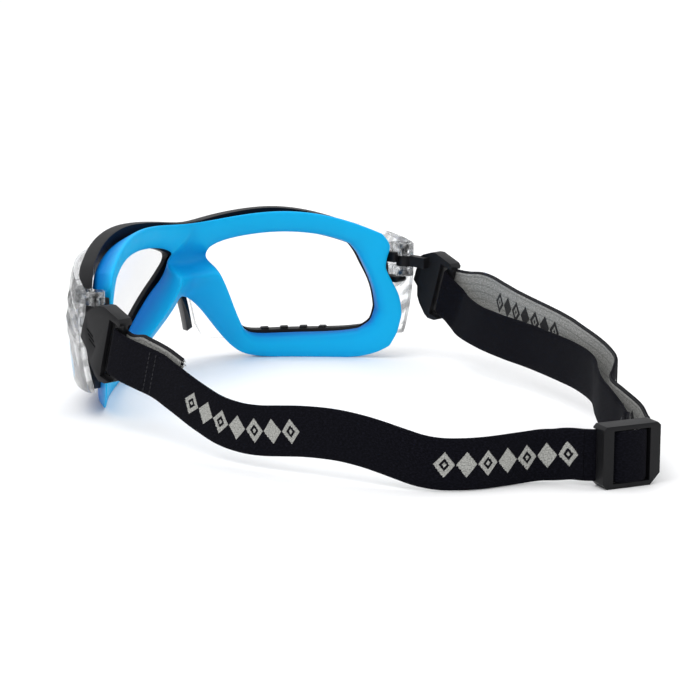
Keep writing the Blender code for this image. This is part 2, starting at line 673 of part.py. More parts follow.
def make_straps(parts, surface):
    along, across = strap_frame()
    sewn = [(9.5, 1.8, 0.1), (17.0, 1.25, 0.9), (26.5, 0.9, 2.1), (34.8, 0.9, 1.9)]
    clip_fold(parts, 1, "left", sewn, 0.0, 0.0, surface)
    clip_fold(parts, -1, "right", [(12.0, LAYER_X, 0.0)], RIGHT_LEAN, RIGHT_SHIFT, surface)
    outer_edge = across * math.cos(RIGHT_LEAN) - along * math.sin(RIGHT_LEAN)
    inner_edge = across * math.cos(RIGHT_LEAN) + along * math.sin(RIGHT_LEAN)
    for name, points, start, end in (("strap_near_run", NEAR_RUN, across, None),
                                     ("strap_outer_run", OUTER_RUN, None, outer_edge),
                                     ("strap_inner_run", INNER_RUN, inner_edge, None)):
        route = smooth_route(points, 3.2)
        ribbon(name, straight_rows(route, upright(route, start, end)), parts, surface)


# ---------------------------------------------------------------- buckle

def buckle_point(along, outward, z):
    heading = Vector((math.cos(BUCKLE_HEADING), math.sin(BUCKLE_HEADING), 0.0))
    normal = Vector((math.sin(BUCKLE_HEADING), -math.cos(BUCKLE_HEADING), 0.0))
    return BUCKLE_CENTRE + heading * along + normal * outward + Vector((0, 0, z))


def buckle_box(name, low, high, collection, surface=None):
    """A box in the buckle's axes: along the strap, inwards to outwards, and up."""
    low = Vector(low)
    high = Vector(high)
    middle = (low + high) / 2
    size = (high - low) * MM
    centre = buckle_point(middle.x, middle.y, middle.z)

    def build(work, place):
        bmesh.ops.create_cube(work, size=1.0, matrix=place @ Matrix.Diagonal((*size, 1.0)))

    return primitive(name, build, centre, collection, surface, BUCKLE_CENTRE, BUCKLE_HEADING)


def make_buckle(parts, helpers, surface):
    half = BUCKLE_LENGTH / 2
    deep = BUCKLE_DEPTH / 2
    top = BUCKLE_HEIGHT - RAIL_HEIGHT
    buckle = buckle_box("buckle", (-half, -deep, 0.0), (half, deep, BUCKLE_HEIGHT), parts, surface)
    bevel(buckle, 1.1, 3)
    window = buckle_box("buckle_window", (-half + SIDE_BAR, -9, RAIL_HEIGHT),
                        (half - SIDE_BAR, 9, top), helpers)
    channel = buckle_box("buckle_channel", (-half - 3, -9, RAIL_HEIGHT),
                         (half + 3, SIDE_BAR_INNER, top), helpers)
    reach, inner, outer = CENTRE_BAR
    bar = buckle_box("buckle_centre_bar", (-reach, inner, 0.8), (reach, outer, BUCKLE_HEIGHT - 0.8),
                     helpers)
    bevel(bar, 0.4)
    boolean(buckle, "DIFFERENCE", window, channel)
    boolean(buckle, "UNION", bar)
    return shade_smooth(buckle, 30.0)


def make_buckle_straps(parts, surface):
    """The webbing that rides with the buckle: over the centre bar, and the sewn end round it."""
    z = BUCKLE_STRAP_Z
    through = [buckle_point(a, n, z) for a, n in (
        (-12.6, -3.9), (-10.4, -2.6), (-8.2, -2.2), (-6.6, -2.1), (-5.4, -1.5), (-4.4, -0.35),
        (-2.6, 1.5), (0.0, 2.2), (2.6, 1.5), (4.4, -0.35), (5.4, -1.5), (6.6, -2.1), (8.2, -2.4),
        (10.3, -4.2), (11.8, -6.5), (13.75, -9.9))]
    route = smooth_route(through, 1.6)
    up = Vector((0, 0, 1))
    rows = straight_rows(route, [up] * len(route))
    ribbon("strap_through_buckle", rows, parts, surface, BUCKLE_CENTRE)

    bar = Vector((0.0, (CENTRE_BAR[1] + CENTRE_BAR[2]) / 2))
    leave = math.radians(-57.0)
    along = Vector((math.cos(leave), math.sin(leave)))
    across = Vector((-along.y, along.x))
    radius = 2.3
    plan = [bar + along * r + across * h for r, h in ((18.8, 0.85), (13.0, 0.85), (7.0, 1.05), (3.6, 1.8))]
    for step in range(7):
        turn = leave + math.radians(62 + step * (360 - 124) / 6)
        plan.append(bar + Vector((math.cos(turn), math.sin(turn))) * radius)
    plan += [bar + along * r - across * h for r, h in ((3.6, 1.8), (7.0, 1.05), (13.0, 0.85))]
    route = smooth_route([buckle_point(p.x, p.y, z) for p in plan], 1.6)
    rows = straight_rows(route, [up] * len(route))
    ribbon("strap_end_loop", rows, parts, surface, BUCKLE_CENTRE)


# ---------------------------------------------------------------- assembly

def main():
    clear_scene()
    parts = new_collection("safety_goggles")
    helpers = new_collection("cutters")
    clear = material("clear_polycarbonate", (0.93, 0.95, 0.96), 0.05, 0.0, 0.35, 0.9)
    black = material("black_nylon", (0.02, 0.02, 0.022), 0.45)
    gloss = material("gloss_black", (0.012, 0.012, 0.014), 0.15)
    blue = material("blue_elastomer", (0.0, 0.36, 0.83), 0.5)
    steel = material("dark_screw_steel", (0.16, 0.16, 0.17), 0.35, 1.0)
    elastic = material("black_elastic", (0.015, 0.015, 0.018), 0.9)

    make_lens(parts, helpers, clear)
    make_frame(parts, helpers, black)
    make_nose_piece(parts, gloss)
    make_seal(parts, blue)
    for side, label in ((1, "left"), (-1, "right")):
        make_screw(parts, side, label, steel)
        make_nut(parts, helpers, side, label, steel)
        make_clip(parts, helpers, side, label, black)
    make_straps(parts, elastic)
    make_buckle(parts, helpers, black)
    make_buckle_straps(parts, elastic)

    for helper in helpers.objects:
        helper.hide_render = True
        helper.display_type = "WIRE"


main()
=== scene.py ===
"""The look of the safety goggles: clear wrap-round lens, black frame, blue face seal, woven strap.

Lengths are in millimetres in the wearer's frame (x left, y back, z up) and are turned into the
row's frame, in metres, as each mesh is made.
"""
import math
import random

import bmesh
import bpy
import numpy as np
from mathutils import Matrix, Vector, noise


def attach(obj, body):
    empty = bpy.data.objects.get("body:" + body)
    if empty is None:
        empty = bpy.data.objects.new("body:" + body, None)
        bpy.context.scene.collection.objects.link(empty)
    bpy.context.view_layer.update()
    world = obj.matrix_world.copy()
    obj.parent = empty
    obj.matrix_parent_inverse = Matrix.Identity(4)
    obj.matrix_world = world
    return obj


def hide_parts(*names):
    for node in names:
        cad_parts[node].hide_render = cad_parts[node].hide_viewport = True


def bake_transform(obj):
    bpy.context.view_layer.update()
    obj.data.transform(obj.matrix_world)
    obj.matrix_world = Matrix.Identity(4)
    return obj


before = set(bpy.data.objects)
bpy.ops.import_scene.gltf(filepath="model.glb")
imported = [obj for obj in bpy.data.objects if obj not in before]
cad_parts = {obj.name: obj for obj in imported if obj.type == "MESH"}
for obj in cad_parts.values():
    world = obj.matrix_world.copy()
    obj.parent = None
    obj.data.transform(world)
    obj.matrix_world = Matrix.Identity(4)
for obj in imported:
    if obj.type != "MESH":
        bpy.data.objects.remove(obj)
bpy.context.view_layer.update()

MM = 0.001
CENTRE = Vector((0.0, 109.51, 0.0))
SIDES = ((1, "left"), (-1, "right"))
rng = random.Random(7)

# ------------------------------------------------------------------ sizes shared with the CAD
LENS_CENTRE_Y = 55.0
LENS_THICK = 2.2
TEMPLE_X = 75.6
FRAME_FRONT = 2.7
FRAME_REAR = 7.5
SEAL_FRONT = 8.2
PIN = Vector((75.0, 46.0, 0.0))
PIN_HOLE = 1.3
UPPER_EAR = (41.0, 45.4)
LOWER_EAR = (32.9, 36.4)
TONGUE = (36.7, 40.7)
HEAD_SEAT_Z = 43.2
NUT_TOP_Z = 34.9
STRAP_WIDTH = 16.2
STRAP_THICK = 1.3
CLIP_OUTER_X = 82.2
CLIP_FRONT_X = 78.9
CLIP_INNER_X = 77.1
CLIP_TILT = math.radians(17.0)
SLOT_START = Vector((0.0, 60.4, 28.9))
SLOT_LENGTH = 3.2
SLOT_HALF = 9.5
RECESS_HALF = 10.5
BAR_MID_X = 79.5
BAR_THICK = 1.8
RIGHT_LEAN = math.radians(15.0)
RIGHT_SHIFT = 0.6
LAYER_X = (BAR_THICK + STRAP_THICK) / 2 + 0.3
BUCKLE_CENTRE = Vector((8.3, 223.2, 0.0))
BUCKLE_HEADING = math.radians(160.0)
BUCKLE_ALONG = Vector((math.cos(BUCKLE_HEADING), math.sin(BUCKLE_HEADING), 0.0))
BUCKLE_OUT = Vector((math.sin(BUCKLE_HEADING), -math.cos(BUCKLE_HEADING), 0.0))
BUCKLE_LENGTH = 20.0
BUCKLE_HEIGHT = 19.6
BUCKLE_MIDDLE = BUCKLE_HEIGHT / 2
BUCKLE_DEPTH = 6.6
RAIL_HEIGHT = 1.5
SIDE_BAR = 3.6
SIDE_BAR_INNER = -1.2
CENTRE_BAR = (1.2, -2.4, -0.8)

# face inner (x, z), face outer (x, z), frame inner (degrees, z), frame outer (degrees, z)
STATIONS = [
    ((10.0, 46.6), (0.0, 57.3), (6.9, 46.2), (0.0, 56.2)),
    ((14.5, 48.8), (12.0, 58.7), (11.4, 48.4), (9.8, 58.3)),
    ((23.5, 50.2), (24.0, 60.0), (18.9, 50.1), (19.7, 59.7)),
    ((34.0, 51.0), (36.0, 60.4), (28.5, 50.8), (30.3, 60.3)),
    ((44.0, 50.2), (48.5, 58.5), (39.3, 50.0), (40.5, 58.8)),
    ((51.5, 48.4), (58.5, 54.6), (50.0, 47.6), (50.7, 55.6)),
    ((56.5, 45.8), (66.3, 50.2), (57.4, 44.8), (61.3, 51.0)),
    ((59.0, 42.4), (69.2, 45.4), (59.8, 41.4), (68.0, 46.6)),
    ((60.3, 39.4), (67.6, 41.2), (61.2, 38.2), (70.5, 42.0)),
    ((61.8, 36.0), (67.4, 36.0), (63.0, 35.0), (71.5, 37.0)),
    ((63.6, 31.0), (69.6, 30.2), (65.4, 31.0), (73.0, 32.0)),
    ((65.2, 25.5), (71.8, 25.2), (67.6, 26.0), (75.0, 26.0)),
    ((66.4, 18.6), (72.4, 17.8), (69.2, 20.3), (76.0, 19.5)),
    ((64.8, 13.2), (71.8, 10.3), (69.0, 15.2), (75.5, 13.0)),
    ((60.9, 10.5), (70.4, 4.4), (65.4, 12.2), (71.0, 8.4)),
    ((55.4, 9.2), (66.2, 0.0), (59.0, 10.9), (61.5, 6.6)),
    ((48.0, 8.4), (55.0, 0.0), (47.5, 10.6), (49.5, 6.2)),
    ((41.0, 7.8), (43.0, 0.0), (37.6, 10.6), (39.2, 6.2)),
    ((34.5, 7.5), (33.0, 0.0), (29.3, 10.6), (28.6, 6.2)),
    ((30.4, 9.2), (27.4, 1.6), (25.0, 11.6), (23.5, 7.4)),
    ((28.0, 13.2), (22.5, 6.6), (22.3, 15.8), (18.7, 12.0)),
    ((25.2, 19.4), (17.5, 13.0), (18.2, 22.0), (14.5, 18.0)),
    ((22.0, 26.0), (12.4, 19.6), (14.6, 28.0), (9.6, 23.6)),
    ((18.8, 32.0), (6.8, 25.0), (11.2, 33.2), (5.4, 28.4)),
    ((15.3, 37.0), (0.0, 27.8), (8.4, 37.2), (0.0, 31.0)),
    ((12.3, 39.6), (0.0, 34.0), (7.0, 39.8), (0.0, 36.0)),
    ((10.2, 41.9), (0.0, 40.0), (5.8, 41.8), (0.0, 41.0)),
    ((9.3, 44.2), (0.0, 46.0), (5.4, 43.9), (0.0, 46.0)),
    ((9.4, 45.6), (0.0, 52.0), (5.8, 45.4), (0.0, 51.0)),
]
FIRST_MID_STATION = 24
FLAT_STATIONS = range(15, 19)
CORNER_STATIONS = {6: 0.7, 9: 0.4, 12: 0.8, 13: 0.3, 14: 0.85, 25: 0.15}
NOSE_STATIONS = range(20, 28)
# how far each nose leg stands in and back from the station's face points
NOSE_SHIFT = {20: 1.2, 21: 2.8, 22: 4.0, 23: 4.0, 24: 3.4, 25: 1.4}
# painted shade at each corner of a section, from the outer wall round to the outer edge: 1 is the deepest
# painted shade on walls that turn away from the light, 0 the lit blue of the face flange
SEAL_PAINTED_SHADE = (0.8, 1.0, 1.0, 1.0, 0.85, 0.25, 0.0, 0.0, 0.15)
NOSE_PAINTED_SHADE = (0.8, 1.0, 1.0, 1.0, 0.9, 0.55, 0.0, 0.22, 0.38)
# how far the nose flange stands back at its inner edge, ridge, slope and outer edge
NOSE_RIDGE = {
    19: (0.3, 1.8, 1.2, 0.2), 20: (0.6, 3.0, 1.8, 0.3), 21: (1.0, 4.4, 2.6, 0.3),
    22: (1.4, 5.6, 3.0, 0.0), 23: (1.6, 6.4, 2.6, -0.8), 24: (1.8, 6.8, 1.2, -2.6),
    25: (1.4, 6.4, 7.4, 8.0), 26: (-1.2, -2.0, -2.2, -2.2), 27: (-0.6, -2.0, -2.4, -2.4),
}

LENS_COLUMNS = [
    (0.0, 39.5, 53.6), (2.0, 37.6, 53.7), (4.0, 33.5, 53.8), (6.0, 28.0, 53.9), (8.0, 21.5, 54.0),
    (10.0, 14.5, 54.0), (12.5, 9.8, 54.0), (16.0, 7.8, 54.0), (21.0, 7.2, 54.0), (28.0, 7.2, 54.0),
    (36.0, 7.6, 53.9), (44.0, 8.2, 53.6), (51.0, 8.7, 53.1), (58.0, 9.1, 52.2), (64.0, 9.2, 51.0),
    (69.0, 9.3, 49.6), (73.5, 9.3, 48.2), (77.5, 9.4, 46.8), (80.6, 9.8, 45.4),
]

NEAR_RUN = [
    (80.4, 94.7, 20.4), (80.4, 99.6, 18.7), (80.0, 107.0, 16.0), (79.3, 115.8, 13.4),
    (78.0, 124.1, 12.3), (76.3, 131.9, 12.4), (74.4, 139.0, 13.2), (72.4, 146.0, 14.0),
    (70.3, 153.0, 14.4), (68.2, 159.5, 14.3), (66.0, 166.0, 13.6), (63.7, 172.4, 12.4),
    (61.3, 178.5, 10.9), (58.5, 184.2, 9.4), (54.9, 189.1, 8.6), (50.3, 193.1, 8.4),
    (44.7, 196.2, 8.3), (38.3, 198.4, 8.3), (31.6, 200.6, 8.4), (25.7, 203.2, 8.7),
    (22.6, 206.9, 9.0), (20.6, 210.9, 9.7), (19.05, 214.6, 9.8),
]
OUTER_RUN = [
    (-8.5, 217.9, 9.8), (-11.2, 214.9, 10.0), (-15.4, 208.9, 11.6), (-21.1, 197.8, 13.4),
    (-25.2, 190.6, 14.3), (-28.3, 187.3, 15.4), (-32.2, 185.0, 16.6), (-38.8, 180.5, 18.4),
    (-43.8, 174.3, 19.5), (-48.8, 165.5, 21.0), (-53.3, 155.3, 22.6), (-57.5, 145.5, 24.0),
    (-61.0, 135.5, 25.2), (-65.0, 123.0, 26.4), (-69.0, 111.0, 27.5), (-73.2, 100.5, 28.5),
    (-77.4, 90.5, 29.5), (-80.1, 82.5, 29.7), (-81.3, 75.6, 28.95), (-81.35, 71.1, 28.85),
]
INNER_RUN = [
    (-77.65, 69.8, 24.05), (-76.9, 73.2, 22.1), (-74.2, 78.2, 21.0), (-70.6, 85.6, 20.3),
    (-67.6, 94.0, 19.5), (-64.2, 107.0, 18.8), (-60.5, 123.0, 18.3), (-56.5, 136.0, 17.9),
    (-51.3, 150.5, 17.5), (-46.3, 160.8, 17.1), (-40.3, 170.0, 16.4), (-32.2, 178.0, 15.2),
    (-24.6, 186.2, 14.2), (-18.2, 195.6, 12.6), (-13.1, 203.6, 10.6), (-8.5, 209.3, 9.9),
]
CLIP_OUTLINE = [
    (47.2, 30.8), (48.6, 35.0), (50.6, 39.6), (54.0, 41.6), (58.4, 42.9), (60.6, 42.9), (68.4, 39.6),
    (69.2, 38.4), (63.4, 19.0), (62.0, 17.2), (60.0, 16.6), (56.6, 17.0), (54.8, 18.4), (52.0, 22.4),
    (50.0, 27.4),
]
THICK_FROM_Y = 50.9


# ------------------------------------------------------------------ camera, floor and light
def linked(name, data):
    obj = bpy.data.objects.new(name, data)
    bpy.context.scene.collection.objects.link(obj)
    return obj


def make_camera():
    camera = linked("camera", bpy.data.cameras.new("camera"))
    right = Vector((-0.71934, 0.69466, 0.0))
    forward = Vector((-0.67973, -0.70388, -0.20622)).normalized()
    up = right.cross(forward).normalized()
    turn = Matrix((right, up, -forward)).transposed().to_4x4()
    place = (Vector((499.62, 610.62, 172.72)) - CENTRE) * MM
    camera.matrix_world = Matrix.Translation(place) @ turn
    camera.data.sensor_width = 36.0
    camera.data.lens = 107.98
    camera.data.clip_start = 0.01
    camera.data.clip_end = 100.0
    bpy.context.scene.camera = camera


def area_light(name, place, size, watts, colour=(1.0, 1.0, 1.0)):
    light = bpy.data.lights.new(name, "AREA")
    light.shape = "RECTANGLE"
    light.size, light.size_y = size
    light.energy = watts
    light.color = colour
    obj = linked(name, light)
    obj.location = place
    obj.rotation_mode = "QUATERNION"
    obj.rotation_quaternion = (-Vector(place)).to_track_quat("-Z", "Y")


def make_studio():
    """A sky that is dim below and bright overhead, three soft lights and a pale floor."""
    world = bpy.data.worlds.new("studio")
    world.use_nodes = True
    tree = world.node_tree
    background = tree.nodes["Background"]
    background.inputs["Color"].default_value = (0.985, 0.99, 1.0, 1.0)
    sky = tree.nodes.new("ShaderNodeTexCoord")
    split = tree.nodes.new("ShaderNodeSeparateXYZ")
    glow = tree.nodes.new("ShaderNodeMapRange")
    tree.links.new(sky.outputs["Generated"], split.inputs[0])
    tree.links.new(split.outputs[2], glow.inputs[0])
    for index, number in enumerate((0.0, 1.0, 0.42, 1.55), start=1):
        glow.inputs[index].default_value = number
    tree.links.new(glow.outputs[0], background.inputs["Strength"])
    bpy.context.scene.world = world
    bpy.context.scene.view_settings.view_transform = "Standard"
    area_light("key", (0.55, -0.15, 1.15), (0.8, 0.8), 4.5)
    area_light("fill", (-0.9, 0.9, 0.8), (0.6, 0.6), 1.2)
    area_light("front", (0.9, 0.75, 0.45), (0.4, 0.25), 0.5)
    mesh = bpy.data.meshes.new("floor")
    reach = 12.0
    mesh.from_pydata([(-reach, -reach, 0), (reach, -reach, 0), (reach, reach, 0), (-reach, reach, 0)],
                     [], [(0, 1, 2, 3)])
    floor = linked("floor", mesh)
    shade = Shader("pale_floor")
    tone = shade.noise(shade.place(), 6.0, 3.0)
    shade.put("Base Color", shade.mix(tone, (0.93, 0.93, 0.93), (0.96, 0.96, 0.96)))
    shade.put("Roughness", shade.remap(tone, 0.3, 0.7, 0.5, 0.6))
    mesh.materials.append(shade.material)


# ------------------------------------------------------------------ materials
class Shader:
    """A material with a Principled shader and short ways to add procedural detail."""

    def __init__(self, name):
        self.material = bpy.data.materials.new(name)
        self.material.use_nodes = True
        self.tree = self.material.node_tree
        self.shader = self.tree.nodes["Principled BSDF"]

    def feed(self, node, socket, value):
        if isinstance(value, bpy.types.NodeSocket):
            self.tree.links.new(value, node.inputs[socket])
        else:
            node.inputs[socket].default_value = value

    def put(self, socket, value):
        self.feed(self.shader, socket, value)

    def node(self, kind, inputs=(), **settings):
        node = self.tree.nodes.new(kind)
        for key, value in settings.items():
            setattr(node, key, value)
        for socket, value in inputs:
            self.feed(node, socket, value)
        return node

    def place(self):
        return self.node("ShaderNodeTexCoord").outputs["Object"]

    def split(self, vector):
        return self.node("ShaderNodeSeparateXYZ", [(0, vector)]).outputs

    def uv(self):
        return self.split(self.node("ShaderNodeUVMap", uv_map="cloth").outputs["UV"])[:2]

    def join(self, x, y, z=0.0):
        return self.node("ShaderNodeCombineXYZ", enumerate((x, y, z))).outputs[0]

    def math(self, operation, *values):
        return self.node("ShaderNodeMath", enumerate(values), operation=operation).outputs[0]

    def noise(self, vector, scale, detail=2.0, rough=0.5):
        inputs = {"Vector": vector, "Scale": scale, "Detail": detail, "Roughness": rough}
        return self.node("ShaderNodeTexNoise", inputs.items()).outputs[0]

    def cells(self, vector, scale):
        inputs = {"Vector": vector, "Scale": scale}
        return self.node("ShaderNodeTexVoronoi", inputs.items()).outputs["Distance"]

    def remap(self, *values):
        """Take a value from one range to another: value, low, high, new low, new high."""
        return self.node("ShaderNodeMapRange", enumerate(values)).outputs[0]

    def mix(self, share, a, b):
        node = self.node("ShaderNodeMix", [(0, share)], data_type="RGBA")
        for socket, colour in ((6, a), (7, b)):
            self.feed(node, socket, colour if isinstance(colour, bpy.types.NodeSocket) else (*colour, 1.0))
        return node.outputs[2]

    def bump(self, height, strength, distance, base=None):
        inputs = {"Strength": strength, "Distance": distance, "Height": height}
        if base is not None:
            inputs["Normal"] = base
        return self.node("ShaderNodeBump", inputs.items()).outputs[0]


def moulded(name, colour, rough, grain, depth, coat=0.0):
    """Injection-moulded plastic: fine pitted grain, slow tone changes and a few rub marks."""
    shade = Shader(name)
    place = shade.place()
    slow = shade.noise(place, 55.0, 4.0, 0.6)
    pits = shade.cells(place, grain)
    rubs = shade.noise(place, 420.0, 6.0, 0.75)
    worn = shade.remap(rubs, 0.62, 0.74, 0.0, 0.5)
    lighter = tuple(min(1.0, c * 1.7 + 0.008) for c in colour)
    tone = shade.mix(slow, tuple(c * 0.75 for c in colour), tuple(c * 1.2 for c in colour))
    shade.put("Base Color", shade.mix(worn, tone, lighter))
    shade.put("Roughness", shade.remap(slow, 0.3, 0.7, rough - 0.05, rough + 0.07))
    fine = shade.bump(pits, 0.35, depth)
    shade.put("Normal", shade.bump(rubs, 0.08, depth * 2, fine))
    shade.put("Specular IOR Level", 0.17)
    shade.put("Coat Weight", coat)
    return shade.material


def elastomer():
    """Soft thermoplastic rubber: matte azure skin with faint flow marks, a little depth under the skin, and
    painted shade on the walls that turn away from the light.
    """
    shade = Shader("blue_seal_rubber")
    place = shade.place()
    slow = shade.noise(place, 32.0, 3.0)
    skin = shade.noise(place, 2600.0, 3.0, 0.7)
    flow = shade.noise(place, 140.0, 4.0, 0.6)
    lit = shade.mix(slow, (0.0, 0.40, 0.76), (0.0, 0.46, 0.85))
    # painted shade: the per-point 'hollow' attribute mixes in a deep blue on the seal's walls and at the
    # nose, standing in for shade
    depth = shade.node("ShaderNodeAttribute", attribute_name="hollow").outputs["Fac"]
    shade.put("Base Color", shade.mix(depth, lit, (0.0, 0.155, 0.55)))
    shade.put("Specular IOR Level", 0.16)
    shade.put("Roughness", shade.remap(flow, 0.3, 0.7, 0.42, 0.56))
    shade.put("Normal", shade.bump(skin, 0.25, 0.00004, shade.bump(flow, 0.05, 0.0003)))
    shade.put("Subsurface Weight", 0.06)
    shade.put("Subsurface Radius", (0.0006, 0.0015, 0.003))
    shade.put("Subsurface Scale", 1.0)
    return shade.material


def polycarbonate(name, base, clearest, painted_dark_streaks=0.0):
    """Clear lens plastic: see-through face on, greyer where the eye looks along the wall, with painted dark
    streaks on the temple standing in for dark refraction through its facets.
    """
    shade = Shader(name)
    place = shade.place()
    facing = shade.node("ShaderNodeLayerWeight")
    facing.inputs["Blend"].default_value = 0.35
    smears = shade.noise(place, 90.0, 4.0, 0.6)
    scuffs = shade.noise(place, 1500.0, 2.0)
    _, y, z = shade.split(place)
    # painted dark refraction: slanted dark streaks across the temple ribs stand in for the dark parts seen
    # through the faceted plastic
    leaning = shade.math("MULTIPLY_ADD", z, 0.8, shade.math("MULTIPLY", y, 0.6))
    across = shade.math("MULTIPLY_ADD", y, -0.8, shade.math("MULTIPLY", z, 0.6))
    grain = shade.noise(shade.join(shade.math("MULTIPLY", leaning, 0.22), across), 330.0, 3.0, 0.6)
    dark = shade.remap(grain, 0.50, 0.57, 0.0, painted_dark_streaks)
    tint = shade.mix(smears, base, tuple(min(1.0, c * 1.03) for c in base))
    shade.put("Base Color", shade.mix(dark, tint, (0.012, 0.013, 0.014)))
    shade.put("Roughness", shade.remap(smears, 0.35, 0.75, 0.015, 0.06))
    shade.put("Alpha", shade.remap(facing.outputs["Facing"], 0.1, 0.9, clearest, 0.95))
    shade.put("Normal", shade.bump(scuffs, 0.02, 0.00002))
    shade.put("Transmission Weight", 1.0)
    shade.put("IOR", 1.5)
    shade.put("Specular IOR Level", 0.3)
    return shade.material


def metal():
    shade = Shader("dark_steel")
    place = shade.place()
    turned = shade.noise(place, 3000.0, 2.0)
    stain = shade.noise(place, 700.0, 3.0)
    shade.put("Base Color", shade.mix(stain, (0.20, 0.20, 0.21), (0.42, 0.41, 0.40)))
    shade.put("Roughness", shade.remap(turned, 0.3, 0.7, 0.22, 0.4))
    shade.put("Metallic", 1.0)
    shade.put("Normal", shade.bump(turned, 0.2, 0.00003))
    return shade.material


MOTIF_PITCH = 0.0925                   # metres between the woven patterns
MOTIF_START = 0.0375
MOTIF_CELLS = 7
MOTIF_STEP = 0.0068


def motif(shade, u, v):
    """A woven row of diamonds, open and solid by turns, at an even pitch along the webbing."""
    along = shade.math("SUBTRACT", u, MOTIF_START)
    in_group = shade.math("WRAP", along, MOTIF_PITCH, 0.0)
    inside = shade.math("LESS_THAN", in_group, MOTIF_CELLS * MOTIF_STEP)
    inside = shade.math("MULTIPLY", inside, shade.math("GREATER_THAN", u, 0.0))
    cell = shade.math("WRAP", in_group, MOTIF_STEP, 0.0)
    across = shade.math("DIVIDE", shade.math("ABSOLUTE", v), 0.0042)
    sideways = shade.math("ABSOLUTE", shade.math("SUBTRACT", cell, MOTIF_STEP / 2))
    sideways = shade.math("DIVIDE", sideways, MOTIF_STEP * 0.5)
    reach = shade.math("ADD", across, sideways)
    solid = shade.math("LESS_THAN", reach, 0.95)
    hollow = shade.math("GREATER_THAN", reach, 0.48)
    pair = shade.math("WRAP", in_group, 2 * MOTIF_STEP, 0.0)
    filled = shade.math("GREATER_THAN", pair, MOTIF_STEP)
    dot = shade.math("LESS_THAN", reach, 0.2)
    ring = shade.math("MAXIMUM", shade.math("MAXIMUM", hollow, filled), dot)
    return shade.math("MULTIPLY", shade.math("MULTIPLY", solid, ring), inside)


def woven(name, outside):
    """Elastic webbing: rows of weft over warp ribs, with the motif worked into the cloth."""
    shade = Shader(name)
    u, v = shade.uv()
    picks = shade.math("MULTIPLY", u, 2 * math.pi / 0.00085)
    ribs = shade.math("MULTIPLY", v, 2 * math.pi / 0.00095)
    row = shade.math("SINE", ribs)
    over = shade.math("MULTIPLY", shade.math("SINE", picks), row)
    fuzz = shade.noise(shade.join(u, v), 2200.0, 3.0, 0.7)
    wobble = shade.math("MULTIPLY", shade.math("SUBTRACT", fuzz, 0.5), 0.0009)
    drawn = motif(shade, shade.math("ADD", u, wobble), shade.math("ADD", v, wobble))
    streak = shade.noise(shade.join(shade.math("MULTIPLY", u, 0.45), v), 2100.0, 4.0, 0.7)
    flecks = shade.noise(shade.join(u, shade.math("MULTIPLY", v, 2.5)), 1100.0, 2.0, 0.6)
    edge = shade.math("GREATER_THAN", shade.math("ABSOLUTE", v), 0.0072)
    height = shade.math("ADD", shade.math("MULTIPLY", over, 0.5), shade.math("MULTIPLY", fuzz, 0.8))
    if outside:
        black = shade.mix(shade.remap(flecks, 0.45, 0.8, 0.0, 1.0), (0.0015, 0.0015, 0.003),
                          (0.009, 0.009, 0.015))
        pale = shade.mix(shade.remap(fuzz, 0.35, 0.7, 0.0, 1.0), (0.17, 0.17, 0.16),
                         (0.52, 0.52, 0.49))
        shade.put("Base Color", shade.mix(drawn, black, pale))
        height = shade.math("ADD", height, shade.math("MULTIPLY", drawn, 1.2))
    else:
        line = shade.math("GREATER_THAN", shade.math("SINE", shade.math("MULTIPLY", v, 2300.0)), 0.82)
        grey = shade.mix(shade.remap(streak, 0.35, 0.68, 0.0, 1.0), (0.15, 0.15, 0.145),
                         (0.42, 0.42, 0.40))
        grey = shade.mix(shade.remap(flecks, 0.55, 0.75, 0.0, 0.55), grey, (0.09, 0.09, 0.09))
        grey = shade.mix(shade.math("MULTIPLY", line, 0.35), grey, (0.08, 0.08, 0.08))
        dark = shade.math("MAXIMUM", drawn, edge)
        shade.put("Base Color", shade.mix(dark, grey, (0.012, 0.012, 0.014)))
    shade.put("Roughness", shade.remap(fuzz, 0.3, 0.7, 0.82, 0.95))
    shade.put("Normal", shade.bump(height, 0.55, 0.00012))
    shade.put("Sheen Weight", 0.012 if outside else 0.1)
    shade.put("Sheen Roughness", 0.5)
    shade.put("Specular IOR Level", 0.06)
    return shade.material


def thread(name, colour):
    shade = Shader(name)
    place = shade.place()
    fibre = shade.noise(place, 4000.0, 3.0, 0.7)
    shade.put("Base Color", shade.mix(fibre, tuple(c * 0.6 for c in colour), colour))
    shade.put("Roughness", shade.remap(fibre, 0.3, 0.7, 0.7, 0.95))
    shade.put("Normal", shade.bump(fibre, 0.4, 0.00005))
    return shade.material


# ------------------------------------------------------------------ mesh helpers
def row_place(point):
    return (Vector(point) - CENTRE) * MM


def turn_outwards(mesh, merge=0.0):
    """Make a mesh's faces look outwards, once points closer than merge metres are joined."""
    work = bmesh.new()
    work.from_mesh(mesh)
    if merge:
        bmesh.ops.remove_doubles(work, verts=work.verts, dist=merge)
    bmesh.ops.recalc_face_normals(work, faces=work.faces)
    work.to_mesh(mesh)
    work.free()


def shown(name, mesh, material):
    turn_outwards(mesh)
    if material:
        mesh.materials.append(material)
    return linked(name, mesh)


def piece(name, verts, faces, material=None):
    mesh = bpy.data.meshes.new(name)
    mesh.from_pydata([row_place(v) for v in verts], [], faces)
    return shown(name, mesh, material)


def solid(name, build, place, material):
    """A bmesh primitive placed by a matrix given in millimetres of the wearer's frame."""
    work = bmesh.new()
    build(work, place)
    for vert in work.verts:
        vert.co = row_place(vert.co)
    mesh = bpy.data.meshes.new(name)
    work.to_mesh(mesh)
    work.free()
    return shown(name, mesh, material)


def block(name, low, high, material=None, axes=Matrix.Identity(4), about=Vector((0, 0, 0)), side=1):
    """A box between two corners; side -1 puts it on the wearer's right."""
    left, right = sorted((side * low[0], side * high[0]))
    low, high = Vector((left, *low[1:])), Vector((right, *high[1:]))
    size = Matrix.Diagonal((*(high - low), 1.0))
    place = Matrix.Translation(about) @ axes @ Matrix.Translation((low + high) / 2) @ size
    return solid(name, lambda work, at: bmesh.ops.create_cube(work, size=1.0, matrix=at), place, material)


